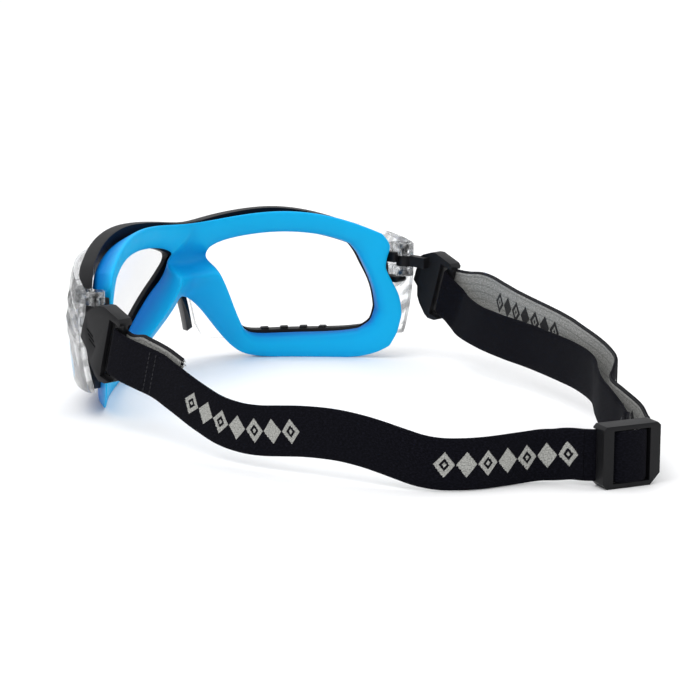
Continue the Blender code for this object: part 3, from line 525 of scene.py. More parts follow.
def drum(name, centre, radius, z_range, material=None, segments=48):
    middle = Matrix.Translation((centre[0], centre[1], sum(z_range) / 2))
    height = z_range[1] - z_range[0]

    def build(work, at):
        bmesh.ops.create_cone(work, cap_ends=True, segments=segments, radius1=radius,
                              radius2=radius, depth=height, matrix=at)

    return solid(name, build, middle, material)


def hoops(rings, around, base=0):
    """Quads between closed rings of points, each ring with the same number of points."""
    faces = []
    for start in range(base, base + (rings - 1) * around, around):
        for k in range(around):
            a, b = start + k, start + (k + 1) % around
            faces.append((a, b, b + around, a + around))
    return faces


def prism(name, low, high, material):
    """A solid between two outlines with the same number of points."""
    count = len(low)
    caps = [tuple(range(count)), tuple(range(2 * count - 1, count - 1, -1))]
    return piece(name, low + high, caps + hoops(2, count), material)


def extruded(name, outline, low, high, material=None, side=1):
    """An outline in the (y, z) plane, given a thickness along x."""
    return prism(name, *([(side * x, y, z) for y, z in outline] for x in (low, high)), material)


def carve(obj, operation, *others):
    for other in others:
        modifier = obj.modifiers.new(operation, "BOOLEAN")
        modifier.operation = operation
        modifier.solver = "EXACT"
        modifier.object = other
    return obj


def baked(obj, *used):
    """Turn the modifiers into plain mesh and drop the pieces used to cut it."""
    bpy.context.view_layer.update()
    graph = bpy.context.evaluated_depsgraph_get()
    mesh = bpy.data.meshes.new_from_object(obj.evaluated_get(graph))
    obj.modifiers.clear()
    obj.data = mesh
    for other in used:
        bpy.data.objects.remove(other, do_unlink=True)
    return obj


def softened(obj, width, segments=3, angle=30.0):
    modifier = obj.modifiers.new("rounded", "BEVEL")
    modifier.width = width * MM
    modifier.segments = segments
    modifier.limit_method = "ANGLE"
    modifier.angle_limit = math.radians(angle)
    modifier.harden_normals = False
    baked(obj)
    return smooth(obj, 50.0)


def smooth(obj, angle=45.0):
    for polygon in obj.data.polygons:
        polygon.use_smooth = True
    obj.data.set_sharp_from_angle(angle=math.radians(angle))
    return obj


def mirrored(obj, levels):
    modifier = obj.modifiers.new("symmetric", "MIRROR")
    modifier.use_clip = True
    modifier.merge_threshold = 0.00005
    if levels:
        modifier = obj.modifiers.new("soft", "SUBSURF")
        modifier.levels = levels
        modifier.render_levels = levels
    return baked(obj)


def smooth_route(points, spacing):
    """A Catmull-Rom curve through the points, in steps of about one spacing."""
    points = [Vector(p) for p in points]
    ends = [points[0] * 2 - points[1]] + points + [points[-1] * 2 - points[-2]]
    route = []
    for a, b, c, d in zip(ends, ends[1:], ends[2:], ends[3:]):
        steps = max(1, round((c - b).length / spacing))
        for step in range(steps):
            t = step / steps
            route.append(0.5 * (2 * b + (c - a) * t + (2 * a - 5 * b + 4 * c - d) * t * t
                                + (3 * b - a - 3 * c + d) * t ** 3))
    route.append(points[-1])
    return route


def distances(route):
    """How far along its route each point lies."""
    lengths = [0.0]
    for a, b in zip(route, route[1:]):
        lengths.append(lengths[-1] + (b - a).length)
    return lengths


def pair(a, b, share):
    return (a[0] + (b[0] - a[0]) * share, a[1] + (b[1] - a[1]) * share)


def step_between(value, low, high):
    t = min(1.0, max(0.0, (value - low) / (high - low)))
    return t * t * (3 - 2 * t)


# ------------------------------------------------------------------ lens, frame and seal
def lens_point(degrees, z, depth=0.0):
    angle = math.radians(degrees)
    apex = -8.6 + 0.19 * (z - 20.0)
    reach = LENS_CENTRE_Y - apex - depth
    half = 82.0 - 0.0073 * (z - 34.0) ** 2
    return Vector(((half - depth) * math.sin(angle), LENS_CENTRE_Y - reach * math.cos(angle), z))


def face_point(x, z):
    rise = z / 48.0
    y = -9.0 + 15.5 * rise + (0.0222 - 0.0045 * rise) * abs(x) ** 1.83
    return Vector((x, y, z))


def ring(name, sections, material, crease, levels, painted_shade=None):
    """A closed loop of sections; the last argument gives a painted shade per corner, darker where the wall
    turns away from the light.
    """
    size = len(sections[0])
    count = len(sections)
    verts = [point for section in sections for point in section]
    faces = []
    for i in range(count):
        after = (i + 1) % count
        on_mid = i >= FIRST_MID_STATION and (after >= FIRST_MID_STATION or after == 0)
        for k in range(size):
            nxt = (k + 1) % size
            if on_mid and nxt <= 1:
                continue
            faces.append((i * size + k, i * size + nxt, after * size + nxt, after * size + k))
    obj = piece(name, verts, faces, material)
    layer = obj.data.attributes.new("crease_edge", "FLOAT", "EDGE")
    for edge in obj.data.edges:
        (station_a, a), (station_b, b) = (divmod(v, size) for v in edge.vertices)
        if a == b:
            layer.data[edge.index].value = crease(station_a, station_b, a, size)
        elif station_a == station_b:
            layer.data[edge.index].value = CORNER_STATIONS.get(station_a, 0.0)
    if painted_shade:
        # painted shade: each point gets a shade tone, stored as the 'hollow' attribute that the seal material
        # reads
        layer = obj.data.attributes.new("hollow", "FLOAT", "POINT")
        for index in range(len(verts)):
            station, corner = divmod(index, size)
            tones = NOSE_PAINTED_SHADE if station in NOSE_STATIONS else painted_shade
            # painted shade: the nose stations 26 and 27 are never lit brighter than 0.45
            recess_shade = 0.45 if station in (26, 27) else 0.0
            layer.data[index].value = max(recess_shade, tones[corner])
    mirrored(obj, levels)
    return smooth(obj, 70.0)


def seal_section(index):
    face_in, face_out, frame_in, frame_out = STATIONS[index]
    shift = NOSE_SHIFT.get(index, 0.0)
    face_in, face_out = ((max(0.0, x - shift), z) for x, z in (face_in, face_out))
    on_mid = index >= FIRST_MID_STATION or index == 0
    reach = 1.0 if on_mid else 0.55
    wall = 5.2 if index in NOSE_STATIONS else SEAL_FRONT
    front_in = lens_point(*pair(frame_in, frame_out, 0.10), wall)
    front_mid = lens_point(*pair(frame_in, frame_out, 0.1 + reach / 2), wall)
    front_out = lens_point(*pair(frame_in, frame_out, reach), wall)
    inner, ridge, slope, outer = (shift + y for y in NOSE_RIDGE.get(index, (0.0, 0.9, 0.9, 0.0)))
    rear_in = face_point(*face_in) + Vector((0.0, inner, 0.0))
    rear_out = face_point(*face_out) + Vector((0.0, outer, 0.0))
    nose = index in NOSE_STATIONS
    first = face_point(*pair(face_in, face_out, 0.18 if nose else 0.3)) + Vector((0.0, ridge, 0.0))
    second = face_point(*pair(face_in, face_out, 0.6 if nose else 0.7)) + Vector((0.0, slope, 0.0))
    if index == 25:
        rear_out.z = 37.6
    if index in FLAT_STATIONS:
        front_out.z = 0.0
        front_out.y = min(front_out.y, rear_out.y - 6.0)
        front_mid.z = min(front_mid.z, 5.5)
    return [rear_out.lerp(front_out, 0.5), front_out, front_mid, front_in,
            front_in.lerp(rear_in, 0.5), rear_in, first, second, rear_out]


def seal_crease(a, b, corner, size):
    if corner == 6 and a in NOSE_STATIONS and b in NOSE_STATIONS and max(a, b) < 26:
        return 0.45
    return 0.9 if a in FLAT_STATIONS and b in FLAT_STATIONS and corner in (1, size - 1) else 0.0


def frame_section(index):
    _, _, frame_in, frame_out = STATIONS[index]
    middle = pair(frame_in, frame_out, 0.5)
    front_out = lens_point(*frame_out, FRAME_FRONT)
    rear = 4.8 if index in NOSE_STATIONS else FRAME_REAR
    rear_out = lens_point(*frame_out, rear)
    return [front_out.lerp(rear_out, 0.5), front_out, lens_point(*middle, FRAME_FRONT),
            lens_point(*frame_in, FRAME_FRONT), lens_point(*frame_in, rear),
            lens_point(*middle, rear), rear_out]


def frame_crease(_a, _b, corner, _size):
    return 0.75 if corner in (1, 3, 4, 6) else 0.0


def make_frame_and_seal(black, blue):
    stations = range(len(STATIONS))
    seal = ring("seal", [seal_section(i) for i in stations], blue, seal_crease, 3,
                SEAL_PAINTED_SHADE)
    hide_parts("face_seal")
    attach(seal, "front")
    shell = ring("frame_shell", [frame_section(i) for i in stations], black, frame_crease, 2)
    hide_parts("inner_frame")
    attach(shell, "front")
    for side, label in SIDES:
        tab = block(label + "_frame_tab", (68.9, 37.0, 38.4), (71.1, 46.5, 42.4), black, side=side)
        softened(tab, 0.35)
        fin_outline = [(38.6, 30.2), (45.4, 30.2), (46.4, 31.0), (46.4, 31.9), (45.8, 32.4), (38.6, 32.4)]
        fin = softened(extruded(label + "_frame_fin", fin_outline, 70.7, 75.8, black, side), 0.3)
        for extra in (tab, fin):
            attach(extra, "front")
        for number, degrees in enumerate((26.0, 32.5, 39.0, 45.5, 52.0)):
            rib = vent_rib(f"{label}_vent_rib_{number}", side, degrees, black)
            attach(rib, "front")


def vent_rib(name, side, degrees, material):
    """A short raised bar on the frame's lower inner edge, beside each vent."""
    verts = []
    for turn in (-1.3, 1.3):
        for depth in (FRAME_FRONT + 0.8, FRAME_REAR - 0.6):
            for z in (9.6, 11.35):
                point = lens_point(degrees + turn, z, depth)
                verts.append((side * point.x, point.y, point.z))
    faces = [(0, 1, 3, 2), (4, 6, 7, 5), (0, 4, 5, 1), (2, 3, 7, 6), (0, 2, 6, 4), (1, 5, 7, 3)]
    return softened(piece(name, verts, faces, material), 0.4)


def lens_limits(degrees):
    columns = LENS_COLUMNS
    for (a, low_a, high_a), (b, low_b, high_b) in zip(columns, columns[1:]):
        if degrees <= b:
            t = (degrees - a) / (b - a)
            return low_a + (low_b - low_a) * t, high_a + (high_b - high_a) * t
    return columns[-1][1:]


def temple_relief(degrees, z):
    """Moulded facets on the lens's temple: slanted ribs on a raised pad."""
    pad = step_between(degrees, 66.0, 70.5) * step_between(z, 27.0, 32.0)
    pad *= 1.0 - step_between(z, 45.0, 49.0)
    slant = (degrees - 60.0) * 0.42 + (z - 30.0) * 0.5
    ribs = abs((slant / 3.4) % 1.0 - 0.5) * 2.0
    return pad * (0.35 + 1.0 * ribs ** 1.4) * (1.0 - 0.8 * step_between(degrees, 76.5, 80.0))


def make_lens(panel, temple):
    rows = 44
    steps = [LENS_COLUMNS[-1][0] * k / 96 for k in range(97)]
    verts = []
    for layer, depth in ((0, 0.0), (1, LENS_THICK)):
        for degrees in steps:
            low, high = lens_limits(degrees)
            for row in range(rows):
                z = low + (high - low) * row / (rows - 1)
                rim = min(row, rows - 1 - row, 3) / 3
                lift = -temple_relief(degrees, z) if layer == 0 else 0.0
                round_off = 0.35 * (1 - rim) ** 2
                verts.append(lens_point(degrees, z, depth + lift + (round_off if layer == 0 else -round_off)))
    size = len(steps) * rows
    faces = []
    for layer in (0, 1):
        for c in range(len(steps) - 1):
            for r in range(rows - 1):
                corner = layer * size + c * rows + r
                faces.append((corner, corner + rows, corner + rows + 1, corner + 1))
    for c in range(len(steps) - 1):
        for r in (0, rows - 1):
            a = c * rows + r
            faces.append((a, a + rows, a + rows + size, a + size))
    last = (len(steps) - 1) * rows
    for r in range(rows - 1):
        faces.append((last + r, last + r + 1, last + r + 1 + size, last + r + size))
    lens = piece("lens_shell", verts, faces, panel)
    lens.data.materials.append(temple)
    for polygon in lens.data.polygons:
        middle = polygon.center / MM
        polygon.material_index = int(middle.x > TEMPLE_X)
    mirrored(lens, 0)
    smooth(lens, 40.0)
    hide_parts("lens")
    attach(lens, "front")
    for side, label in SIDES:
        for ear_name, span in (("upper", UPPER_EAR), ("lower", LOWER_EAR)):
            ear = hinge_ear(f"{label}_{ear_name}_ear", side, span, temple)
            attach(ear, "front")


def hinge_ear(name, side, span, material):
    pin = (side * PIN.x, PIN.y)
    ear = drum(name, pin, 3.6, span, material)
    web = block(name + "_web", (72.6, 39.6, span[0]), (78.0, 46.0, span[1]), side=side)
    hole = drum(name + "_hole", pin, PIN_HOLE, (span[0] - 2, span[1] + 2))
    used = [web, hole]
    carve(ear, "UNION", web)
    carve(ear, "DIFFERENCE", hole)
    if span == UPPER_EAR:
        pocket = drum(name + "_pocket", pin, 2.25, (HEAD_SEAT_Z, span[1] + 2))
    else:
        pocket = drum(name + "_pocket", pin, 2.45, (span[0] - 2, NUT_TOP_Z), segments=6)
    used.append(pocket)
    carve(ear, "DIFFERENCE", pocket)
    baked(ear, *used)
    return softened(ear, 0.3)


def make_nose_piece(gloss):
    arch = smooth_route([(0.0, 36.6, 0), (1.7, 35.3, 0), (3.4, 31.6, 0), (5.2, 26.2, 0), (7.0, 20.0, 0),
                         (8.7, 13.4, 0)], 0.5)
    verts = []
    for degrees, z, _ in arch:
        share = step_between(degrees, 0.0, 1.7)
        inner = (max(0.0, degrees - 1.6 * share), z - 2.0 + 0.7 * share)
        for t, height, depth in ((degrees, z, -0.9), (degrees, z, 0.8), (degrees, z, 2.3),
                                 (*inner, 2.3), (*inner, 0.8), (*inner, -0.9)):
            verts.append(lens_point(t, height, depth))
    last = (len(arch) - 1) * 6
    faces = hoops(len(arch), 6) + [tuple(range(last, last + 6))]
    nose = mirrored(piece("nose_saddle", verts, faces, gloss), 0)
    softened(nose, 0.35, 3, 50.0)
    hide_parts("nose_piece")
    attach(nose, "front")


# ------------------------------------------------------------------ hinges and clips
def make_screw(side, label, steel):
    pin = (side * PIN.x, PIN.y)
    profile = [(0.0, 33.1), (1.0, 33.1), (1.0, 43.5), (1.6, 43.5), (1.9, 43.8), (1.9, 44.4),
               (1.75, 44.7), (1.3, 44.88), (0.0, 44.9)]
    count = 40
    verts = []
    for r, z in profile:
        for k in range(count):
            angle = 2 * math.pi * k / count
            verts.append((pin[0] + r * math.cos(angle), pin[1] + r * math.sin(angle), z))
    screw = piece(label + "_screw", verts, hoops(len(profile), count), steel)
    turn_outwards(screw.data, 1e-6)
    slots = [block(f"{label}_slot_{k}", (-x, -y, 44.2), (x, y, 46.0), about=Vector((*pin, 0)))
             for k, (x, y) in enumerate(((2.2, 0.28), (0.28, 2.2)))]
    carve(screw, "DIFFERENCE", *slots)
    baked(screw, *slots)
    smooth(screw, 35.0)
    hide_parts(label + "_hinge_screw")
    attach(screw, "front")
    nut = drum(label + "_nut", pin, 2.0, (33.1, 34.6), steel, segments=6)
    hole = drum(label + "_nut_bore", pin, PIN_HOLE, (30.0, 37.0))
    carve(nut, "DIFFERENCE", hole)
    baked(nut, hole)
    softened(nut, 0.15, 2)
    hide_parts(label + "_hinge_nut")
    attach(nut, "front")


def strap_axes():
    along = Vector((0.0, math.cos(CLIP_TILT), -math.sin(CLIP_TILT)))
    across = Vector((0.0, math.sin(CLIP_TILT), math.cos(CLIP_TILT)))
    return along, across


def slanted(name, side, s_range, x_range, half):
    along, across = strap_axes()
    axes = Matrix((Vector((1, 0, 0)), along, across)).transposed().to_4x4()
    low, high = zip(x_range, s_range, (-half, half))
    return block(name, low, high, axes=axes, about=SLOT_START, side=side)


def make_clip(side, label, black):
    pin = (side * PIN.x, PIN.y)
    clip = extruded(label + "_strap_clip", CLIP_OUTLINE, CLIP_INNER_X, CLIP_OUTER_X, black, side)
    relief = block(label + "_relief", (70.0, 40.0, 10.0), (CLIP_FRONT_X, THICK_FROM_Y, 50.0), side=side)
    tongue = block(label + "_tongue", (74.4, 46.0, TONGUE[0]), (77.9, 57.0, TONGUE[1]), side=side)
    barrel = drum(label + "_barrel", pin, 3.2, TONGUE)
    hole = drum(label + "_tongue_hole", pin, PIN_HOLE, (TONGUE[0] - 2, TONGUE[1] + 2))
    outer, inner = BAR_MID_X + BAR_THICK / 2, BAR_MID_X - BAR_THICK / 2
    slot = slanted(label + "_slot", side, (0.3, SLOT_LENGTH), (70.0, 90.0), SLOT_HALF)
    outside = slanted(label + "_outside", side, (0.0, 24.0), (outer, 90.0), RECESS_HALF)
    inside = slanted(label + "_inside", side, (0.0, 24.0), (70.0, inner), RECESS_HALF)
    lean = Matrix.Rotation(math.radians(-38.0), 4, "X")
    grooves = [block(f"{label}_groove_{k}", (CLIP_OUTER_X - 0.35, -2.0, -0.3), (CLIP_OUTER_X + 1.0, 2.0, 0.3),
                     axes=lean, about=Vector((0.0, 52.6 + 0.55 * k, 33.0 - 1.7 * k)), side=side)
               for k in range(3)]
    carve(clip, "DIFFERENCE", relief)
    carve(clip, "UNION", tongue, barrel)
    cuts = (hole, slot, outside, inside, *grooves)
    carve(clip, "DIFFERENCE", *cuts)
    baked(clip, relief, tongue, barrel, *cuts)
    softened(clip, 0.32, 3, 28.0)
    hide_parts(label + "_clip")
    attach(clip, label + "_clip")


# ------------------------------------------------------------------ webbing
THROUGH_PLAN = [
    (-12.6, -3.9), (-10.4, -2.6), (-8.2, -2.2), (-6.9, -2.1), (-5.9, -1.4), (-5.6, 0.6),
    (-4.8, 2.3), (-2.6, 3.2), (0.0, 3.4), (2.6, 3.2), (4.8, 2.3), (5.6, 0.6), (5.9, -1.4),
    (6.9, -2.1), (8.2, -2.4), (10.3, -4.2), (11.8, -6.5), (13.75, -9.9),
]
# where the points of a row lie across the webbing, closer together at its rounded edges
COLUMNS = [-1.0, -0.975, -0.9, -0.7, -0.45, -0.2, 0.0, 0.2, 0.45, 0.7, 0.9, 0.975, 1.0]
MIDDLE = len(COLUMNS) // 2
SEWN_LENGTH = 38.0
RUN_SPACING = 0.9
FOLD_SPACING = 0.5
THREAD_RADIUS = 0.16


def webbing(name, rows, materials, start=0.0, plain=False, ripple=0.12):
    """A closed band from rows of points; its front is the black face and its back the grey one."""
    grid = np.array([[tuple(p) for p in row] for row in rows])
    count, columns = grid.shape[:2]
    run = np.gradient(grid, axis=0)
    span = np.gradient(grid, axis=1)
    normal = np.cross(run, span)
    normal /= np.linalg.norm(normal, axis=2, keepdims=True)
    steps = np.linalg.norm(np.diff(grid[:, MIDDLE], axis=0), axis=1)
    length = start + np.concatenate([[0.0], np.cumsum(steps)])
    for i in range(count):
        fade = min(1.0, i / 6, (count - 1 - i) / 6)
        for k in range(columns):
            wave = noise.noise(Vector((length[i] * 0.16, COLUMNS[k] * 1.3, 3.7)))
            grid[i, k] += normal[i, k] * wave * ripple * fade * abs(COLUMNS[k])
    half = np.array([STRAP_THICK / 2 * math.sqrt(max(0.16, 1 - max(0.0, (abs(h) - 0.9) / 0.1) ** 2))
                     for h in COLUMNS])[None, :, None]
    front = grid + normal * half
    back = grid - normal * half
    verts = np.concatenate([front.reshape(-1, 3), back.reshape(-1, 3)])
    size = count * columns
    faces = []
    kinds = []
    for i in range(count - 1):
        for k in range(columns - 1):
            a = i * columns + k
            quad = (a, a + columns, a + columns + 1, a + 1)
            faces.append(quad)
            kinds.append(0)
            faces.append(tuple(v + size for v in reversed(quad)))
            kinds.append(1)
        for k, order in ((0, 1), (columns - 1, -1)):
            a = i * columns + k
            faces.append((a, a + size, a + size + columns, a + columns)[::order])
            kinds.append(0)
    for i, order in ((0, 1), (count - 1, -1)):
        for k in range(columns - 1):
            a = i * columns + k
            faces.append((a, a + 1, a + 1 + size, a + size)[::order])
            kinds.append(0)
    obj = piece(name, verts, faces)
    for material in materials:
        obj.data.materials.append(material)
    layer = obj.data.uv_layers.new(name="cloth")
    for polygon in obj.data.polygons:
        polygon.material_index = kinds[polygon.index]
        polygon.use_smooth = True
        for loop in polygon.loop_indices:
            i, k = divmod(obj.data.loops[loop].vertex_index % size, columns)
            layer.data[loop].uv = (length[i] * MM - 2.0 * plain, COLUMNS[k] * STRAP_WIDTH / 2 * MM)
    obj.data.set_sharp_from_angle(angle=math.radians(60.0))
    return obj, float(length[-1])


def band_rows(route, widths):
    half = STRAP_WIDTH / 2
    return [[p + w * half * h for h in COLUMNS] for p, w in zip(route, widths)]


def upright(route, start=None, end=None, fade=28.0):
    """Which way the webbing's width points along a route: up, but for its fades at the ends."""
    lengths = distances(route)
    result = []
    for i in range(len(route)):
        tangent = (route[min(i + 1, len(route) - 1)] - route[max(i - 1, 0)]).normalized()
        width = Vector((0, 0, 1))
        if start is not None:
            width = width.lerp(start, max(0.0, 1 - lengths[i] / fade))
        if end is not None:
            width = width.lerp(end, max(0.0, 1 - (lengths[-1] - lengths[i]) / fade))
        result.append((width - tangent * width.dot(tangent)).normalized())
    return result


def fold_rows(side, tail, lean, shift):
    """Rows of webbing wrapped round the clip's rear bar, as laid out on the bar's unrolled surface."""
    along, across = strap_axes()
    turn = [(4.8, -LAYER_X, 0), (3.3, -LAYER_X, 0), (2.5, -1.5, 0), (2.2, -0.8, 0), (2.1, 0.0, 0),
            (2.2, 0.8, 0), (2.5, 1.5, 0), (3.3, LAYER_X, 0), (4.8, LAYER_X, 0)]
    inner = [(s, -offset, w) for s, offset, w in reversed(tail)]
    route = smooth_route([*inner, *turn, *tail], FOLD_SPACING)
    lengths = distances(route)
    front = min(range(len(route)), key=lambda i: (route[i].x, abs(route[i].y)))
    lengths = [length - lengths[front] for length in lengths]

    def on_bar(distance):
        i = next((k for k in range(1, len(route) - 1) if lengths[k] >= distance), len(route) - 1)
        share = (distance - lengths[i - 1]) / (lengths[i] - lengths[i - 1])
        return route[i - 1].lerp(route[i], share)

    rows = []
    skew = STRAP_WIDTH / 2 * math.sin(lean)
    for distance, point in zip(lengths, route):
        if not lengths[0] + skew - 0.01 <= distance <= lengths[-1] - skew + 0.01:
            continue
        row = []
        for step in COLUMNS:
            half = step * STRAP_WIDTH / 2
            s, offset, _ = on_bar(distance - half * math.sin(lean))
            shifted = shift + point.z + distance * math.tan(lean) + half * math.cos(lean)
            place = SLOT_START + along * s + across * shifted
            place.x = side * (BAR_MID_X + offset)
            row.append(place)
        rows.append(row)
    return rows


def buckle_point(along, outward, z):
    return BUCKLE_CENTRE + BUCKLE_ALONG * along + BUCKLE_OUT * outward + Vector((0, 0, z))


def split_at(rows, keep):
    """Cut a run in two at the first row past a test; both halves share that row."""
    cut = next(i for i, row in enumerate(rows) if keep(row[MIDDLE]))
    return rows[:cut + 1], rows[cut:]


def run_rows(run, first, last, **leans):
    """A free run's rows, joined to the rows of the pieces before and after it."""
    route = smooth_route(run, RUN_SPACING)
    return [first] + band_rows(route, upright(route, **leans)) + [last]


def make_straps(cloth):
    along, across = strap_axes()
    lift = Vector((0, 0, 1))
    sewn = [(9.5, 1.8, 0.1), (17.0, 1.25, 0.9), (26.5, 0.9, 2.1), (34.8, 0.9, 1.9)]
    left_fold = fold_rows(1, sewn, 0.0, 0.0)
    for number, row in enumerate(left_fold[:len(left_fold) // 2]):
        away = (left_fold[len(left_fold) // 2][MIDDLE] - row[MIDDLE]).length
        raised = across * 2.3 * step_between(away, 5.0, 13.0)
        left_fold[number] = [p + raised for p in row]
    right_fold = fold_rows(-1, [(12.0, LAYER_X, 0.0)], RIGHT_LEAN, RIGHT_SHIFT)[::-1]
    through = smooth_route([buckle_point(a, n, BUCKLE_MIDDLE) for a, n in THROUGH_PLAN], 0.6)
    through = band_rows(through, [lift] * len(through))
    bar = Vector((0.0, (CENTRE_BAR[1] + CENTRE_BAR[2]) / 2))
    leave = math.radians(-57.0)
    out = Vector((math.cos(leave), math.sin(leave)))
    beside = Vector((-out.y, out.x))
    plan = [bar + out * r + beside * h for r, h in ((18.8, 0.85), (13.0, 0.85), (7.0, 1.05), (3.6, 1.8))]
    for step in range(7):
        turn = leave + math.radians(62 + step * (360 - 124) / 6)
        plan.append(bar + Vector((math.cos(turn), math.sin(turn))) * 2.3)
    plan += [bar + out * r - beside * h for r, h in ((3.6, 1.8), (7.0, 1.05), (13.0, 0.85))]
    loop = smooth_route([buckle_point(*p, BUCKLE_MIDDLE) for p in plan], FOLD_SPACING)
    loop = band_rows(loop, [lift] * len(loop))

    band, length = webbing("left_fold", left_fold, cloth, -SEWN_LENGTH)
    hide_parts("left_strap_fold")
    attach(band, "left_clip")
    frayed_tail(left_fold, cloth)

    rows = run_rows(NEAR_RUN, left_fold[-1], through[0], start=across)
    front, rear = split_at(rows, lambda p: p.y > 186.0)
    band, length = webbing("near_strap_front", front, cloth, length)
    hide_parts("strap_near_run")
    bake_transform(band)
    band, length = webbing("near_strap_rear", rear, cloth, length)
    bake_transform(band)

    band, length = webbing("buckled_strap", through, cloth, length, plain=True, ripple=0.0)
    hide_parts("strap_through_buckle")
    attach(band, "buckle")

    outer_edge = across * math.cos(RIGHT_LEAN) - along * math.sin(RIGHT_LEAN)
    inner_edge = across * math.cos(RIGHT_LEAN) + along * math.sin(RIGHT_LEAN)
    rows = run_rows(OUTER_RUN, through[-1], right_fold[0], end=outer_edge)
    rear, front = split_at(rows, lambda p: p.y < 172.0)
    band, length = webbing("outer_strap_rear", rear, cloth, length)
    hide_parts("strap_outer_run")
    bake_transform(band)
    band, length = webbing("outer_strap_front", front, cloth, length)
    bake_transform(band)

    band, length = webbing("right_fold", right_fold, cloth, length, plain=True)
    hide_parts("right_strap_fold")
    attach(band, "right_clip")

    rows = run_rows(INNER_RUN, right_fold[-1], loop[0], start=inner_edge)
    front, rear = split_at(rows, lambda p: p.y > 164.0)
    band, length = webbing("inner_strap_front", front, cloth, length, plain=True)
    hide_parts("strap_inner_run")
    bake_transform(band)
    band, length = webbing("inner_strap_rear", rear, cloth, length, plain=True)
    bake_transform(band)

    band, length = webbing("sewn_end_loop", loop, cloth, length, plain=True, ripple=0.0)
    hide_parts("strap_end_loop")
    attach(band, "buckle")
    stitches = [buckle_point(*(bar + out * r + beside * 1.55), BUCKLE_MIDDLE) for r in (9.0, 11.6)]
    stitch_rows("end_loop_stitches", stitches, (out.x, out.y), cloth[2], "buckle")
    print("strap length", round(length + SEWN_LENGTH), "mm")


def tube(name, paths, radius, material):
    """Thin threads along short paths, all in one mesh."""
    verts = []
    faces = []
    sides = 6
    for path in paths:
        base = len(verts)
        for i, point in enumerate(path):
            tangent = (path[min(i + 1, len(path) - 1)] - path[max(i - 1, 0)]).normalized()
            first = tangent.orthogonal().normalized()
            second = tangent.cross(first)
            thin = radius * (0.55 if i in (0, len(path) - 1) else 1.0)
            for k in range(sides):
                angle = 2 * math.pi * k / sides
                verts.append(point + (first * math.cos(angle) + second * math.sin(angle)) * thin)
        faces += hoops(len(path), sides, base)
        for end in (base, base + (len(path) - 1) * sides):
            faces.append(tuple(range(end, end + sides)))
    return smooth(piece(name, verts, faces, material), 60.0)


def stitch(a, b, low, high):
    """One stitch from a to b, which dips at its ends."""
    return [a + low, a.lerp(b, 0.3) + high, a.lerp(b, 0.7) + high, b + low]


def stitch_rows(name, centres, direction, material, body):
    paths = []
    outward = (BUCKLE_ALONG * -direction[1] + BUCKLE_OUT * direction[0]).normalized()
    for centre in centres:
        z = -6.6
        while z < 6.6:
            a, b = (centre + Vector((0, 0, height)) for height in (z, z + 1.3))
            paths.append(stitch(a, b, outward * -0.12, outward * 0.1))
            z += 1.7
    obj = tube(name, paths, THREAD_RADIUS, material)
    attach(obj, body)


def frayed_tail(rows, cloth):
    """The cut end of the inner layer has loose threads, and two rows of stitching hold it down."""
    end = rows[0]
    into = (end[MIDDLE] - rows[4][MIDDLE]).normalized()
    paths = {0: [], 1: []}
    for number in range(46):
        h = rng.uniform(-1.0, 1.0)
        spread = Vector((rng.uniform(-0.45, 0.45), 0, 0))
        at = end[MIDDLE] + (end[-1] - end[MIDDLE]) * h + spread - into * 0.4
        reach = rng.uniform(0.9, 2.6)
        drift = Vector((rng.uniform(-0.4, 0.1), rng.uniform(-0.3, 0.5), rng.uniform(-0.5, 0.7)))
        paths[number % 2].append([at, at + into * reach * 0.4 + drift * 0.25,
                                  at + into * reach * 0.75 + drift * 0.7, at + into * reach + drift])
    for kind, label in ((0, "dark"), (1, "pale")):
        obj = tube("frayed_threads_" + label, paths[kind], 0.11, cloth[2 + kind])
        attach(obj, "left_clip")
    seams = []
    for distance in (10.0, 13.2):
        lengths = 0.0
        index = len(rows) - 1
        while lengths < distance:
            lengths += (rows[index][MIDDLE] - rows[index - 1][MIDDLE]).length
            index -= 1
        row = rows[index]
        out = Vector((STRAP_THICK / 2 + 0.02, 0, 0))
        for k in range(9):
            start = 0.06 + k * 0.1
            a, b = (row[0].lerp(row[-1], share) for share in (start, start + 0.075))
            seams.append(stitch(a, b, out * 0.8, out))
    obj = tube("tail_stitches", seams, THREAD_RADIUS, cloth[2])
    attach(obj, "left_clip")


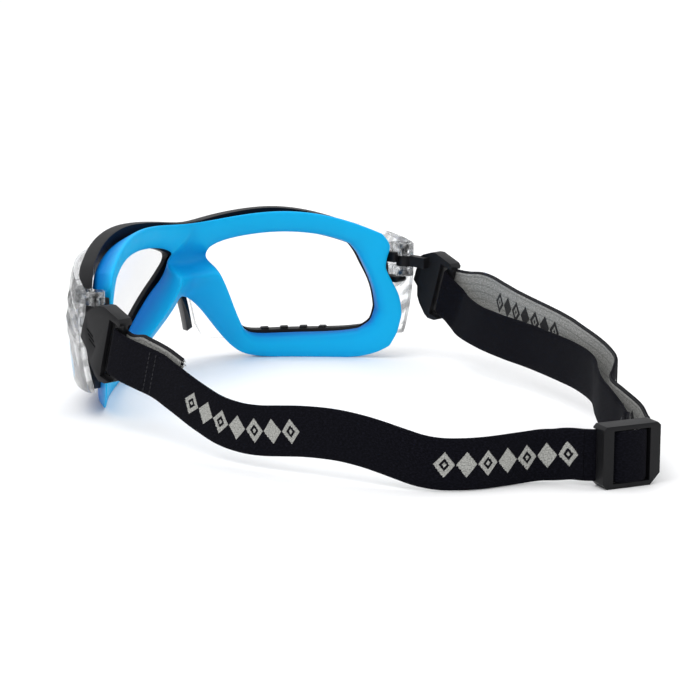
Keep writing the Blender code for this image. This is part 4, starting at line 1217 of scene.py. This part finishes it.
# ------------------------------------------------------------------ buckle
def make_buckle(black):
    half, deep, high = BUCKLE_LENGTH / 2, BUCKLE_DEPTH / 2, BUCKLE_HEIGHT
    outline = [(-half, 1.6), (-half + 1.6, 0.0), (half - 3.4, 0.0), (half, 3.6), (half, high - 1.0),
               (half - 1.0, high), (-half + 1.0, high), (-half, high - 1.0)]
    near, far = ([buckle_point(a, n, z) for a, z in outline] for n in (-deep, deep))
    buckle = prism("slide_buckle", near, far, black)
    turn = Matrix.Rotation(BUCKLE_HEADING, 4, "Z") @ Matrix.Scale(-1, 4, (0, 1, 0))

    def local(name, low_corner, high_corner, material=None):
        return block(name, low_corner, high_corner, material, turn, BUCKLE_CENTRE)

    top = high - RAIL_HEIGHT
    window = local("window", (-half + SIDE_BAR, -9, RAIL_HEIGHT), (half - SIDE_BAR, 9, top))
    channel = local("channel", (-half - 3, -9, RAIL_HEIGHT), (half + 3, SIDE_BAR_INNER, top))
    carve(buckle, "DIFFERENCE", window, channel)
    baked(buckle, window, channel)
    softened(buckle, 0.75, 4, 28.0)
    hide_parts("buckle")
    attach(buckle, "buckle")
    reach, inner, outer = CENTRE_BAR
    bar = local("buckle_bar", (-reach, inner, 0.9), (reach, outer, high - 0.9), black)
    softened(bar, 0.35)
    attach(bar, "buckle")


def main():
    make_camera()
    make_studio()
    black = moulded("black_moulded_nylon", (0.006, 0.006, 0.007), 0.42, 2400.0, 0.00005)
    gloss = moulded("gloss_black_plastic", (0.008, 0.008, 0.010), 0.12, 900.0, 0.00001, 0.5)
    blue = elastomer()
    panel = polycarbonate("clear_lens", (0.95, 0.96, 0.965), 0.12)
    # the last value is the strength of the painted dark streaks that stand in for refraction through the
    # temple facets
    temple = polycarbonate("clear_temple", (0.84, 0.855, 0.865), 0.7, 0.85)
    steel = metal()
    cloth = [woven("webbing_black_face", True), woven("webbing_grey_face", False),
             thread("black_thread", (0.02, 0.02, 0.024)), thread("grey_thread", (0.4, 0.4, 0.38))]
    make_frame_and_seal(black, blue)
    make_lens(panel, temple)
    make_nose_piece(gloss)
    for side, label in SIDES:
        make_screw(side, label, steel)
        make_clip(side, label, black)
    make_straps(cloth)
    make_buckle(black)


main()
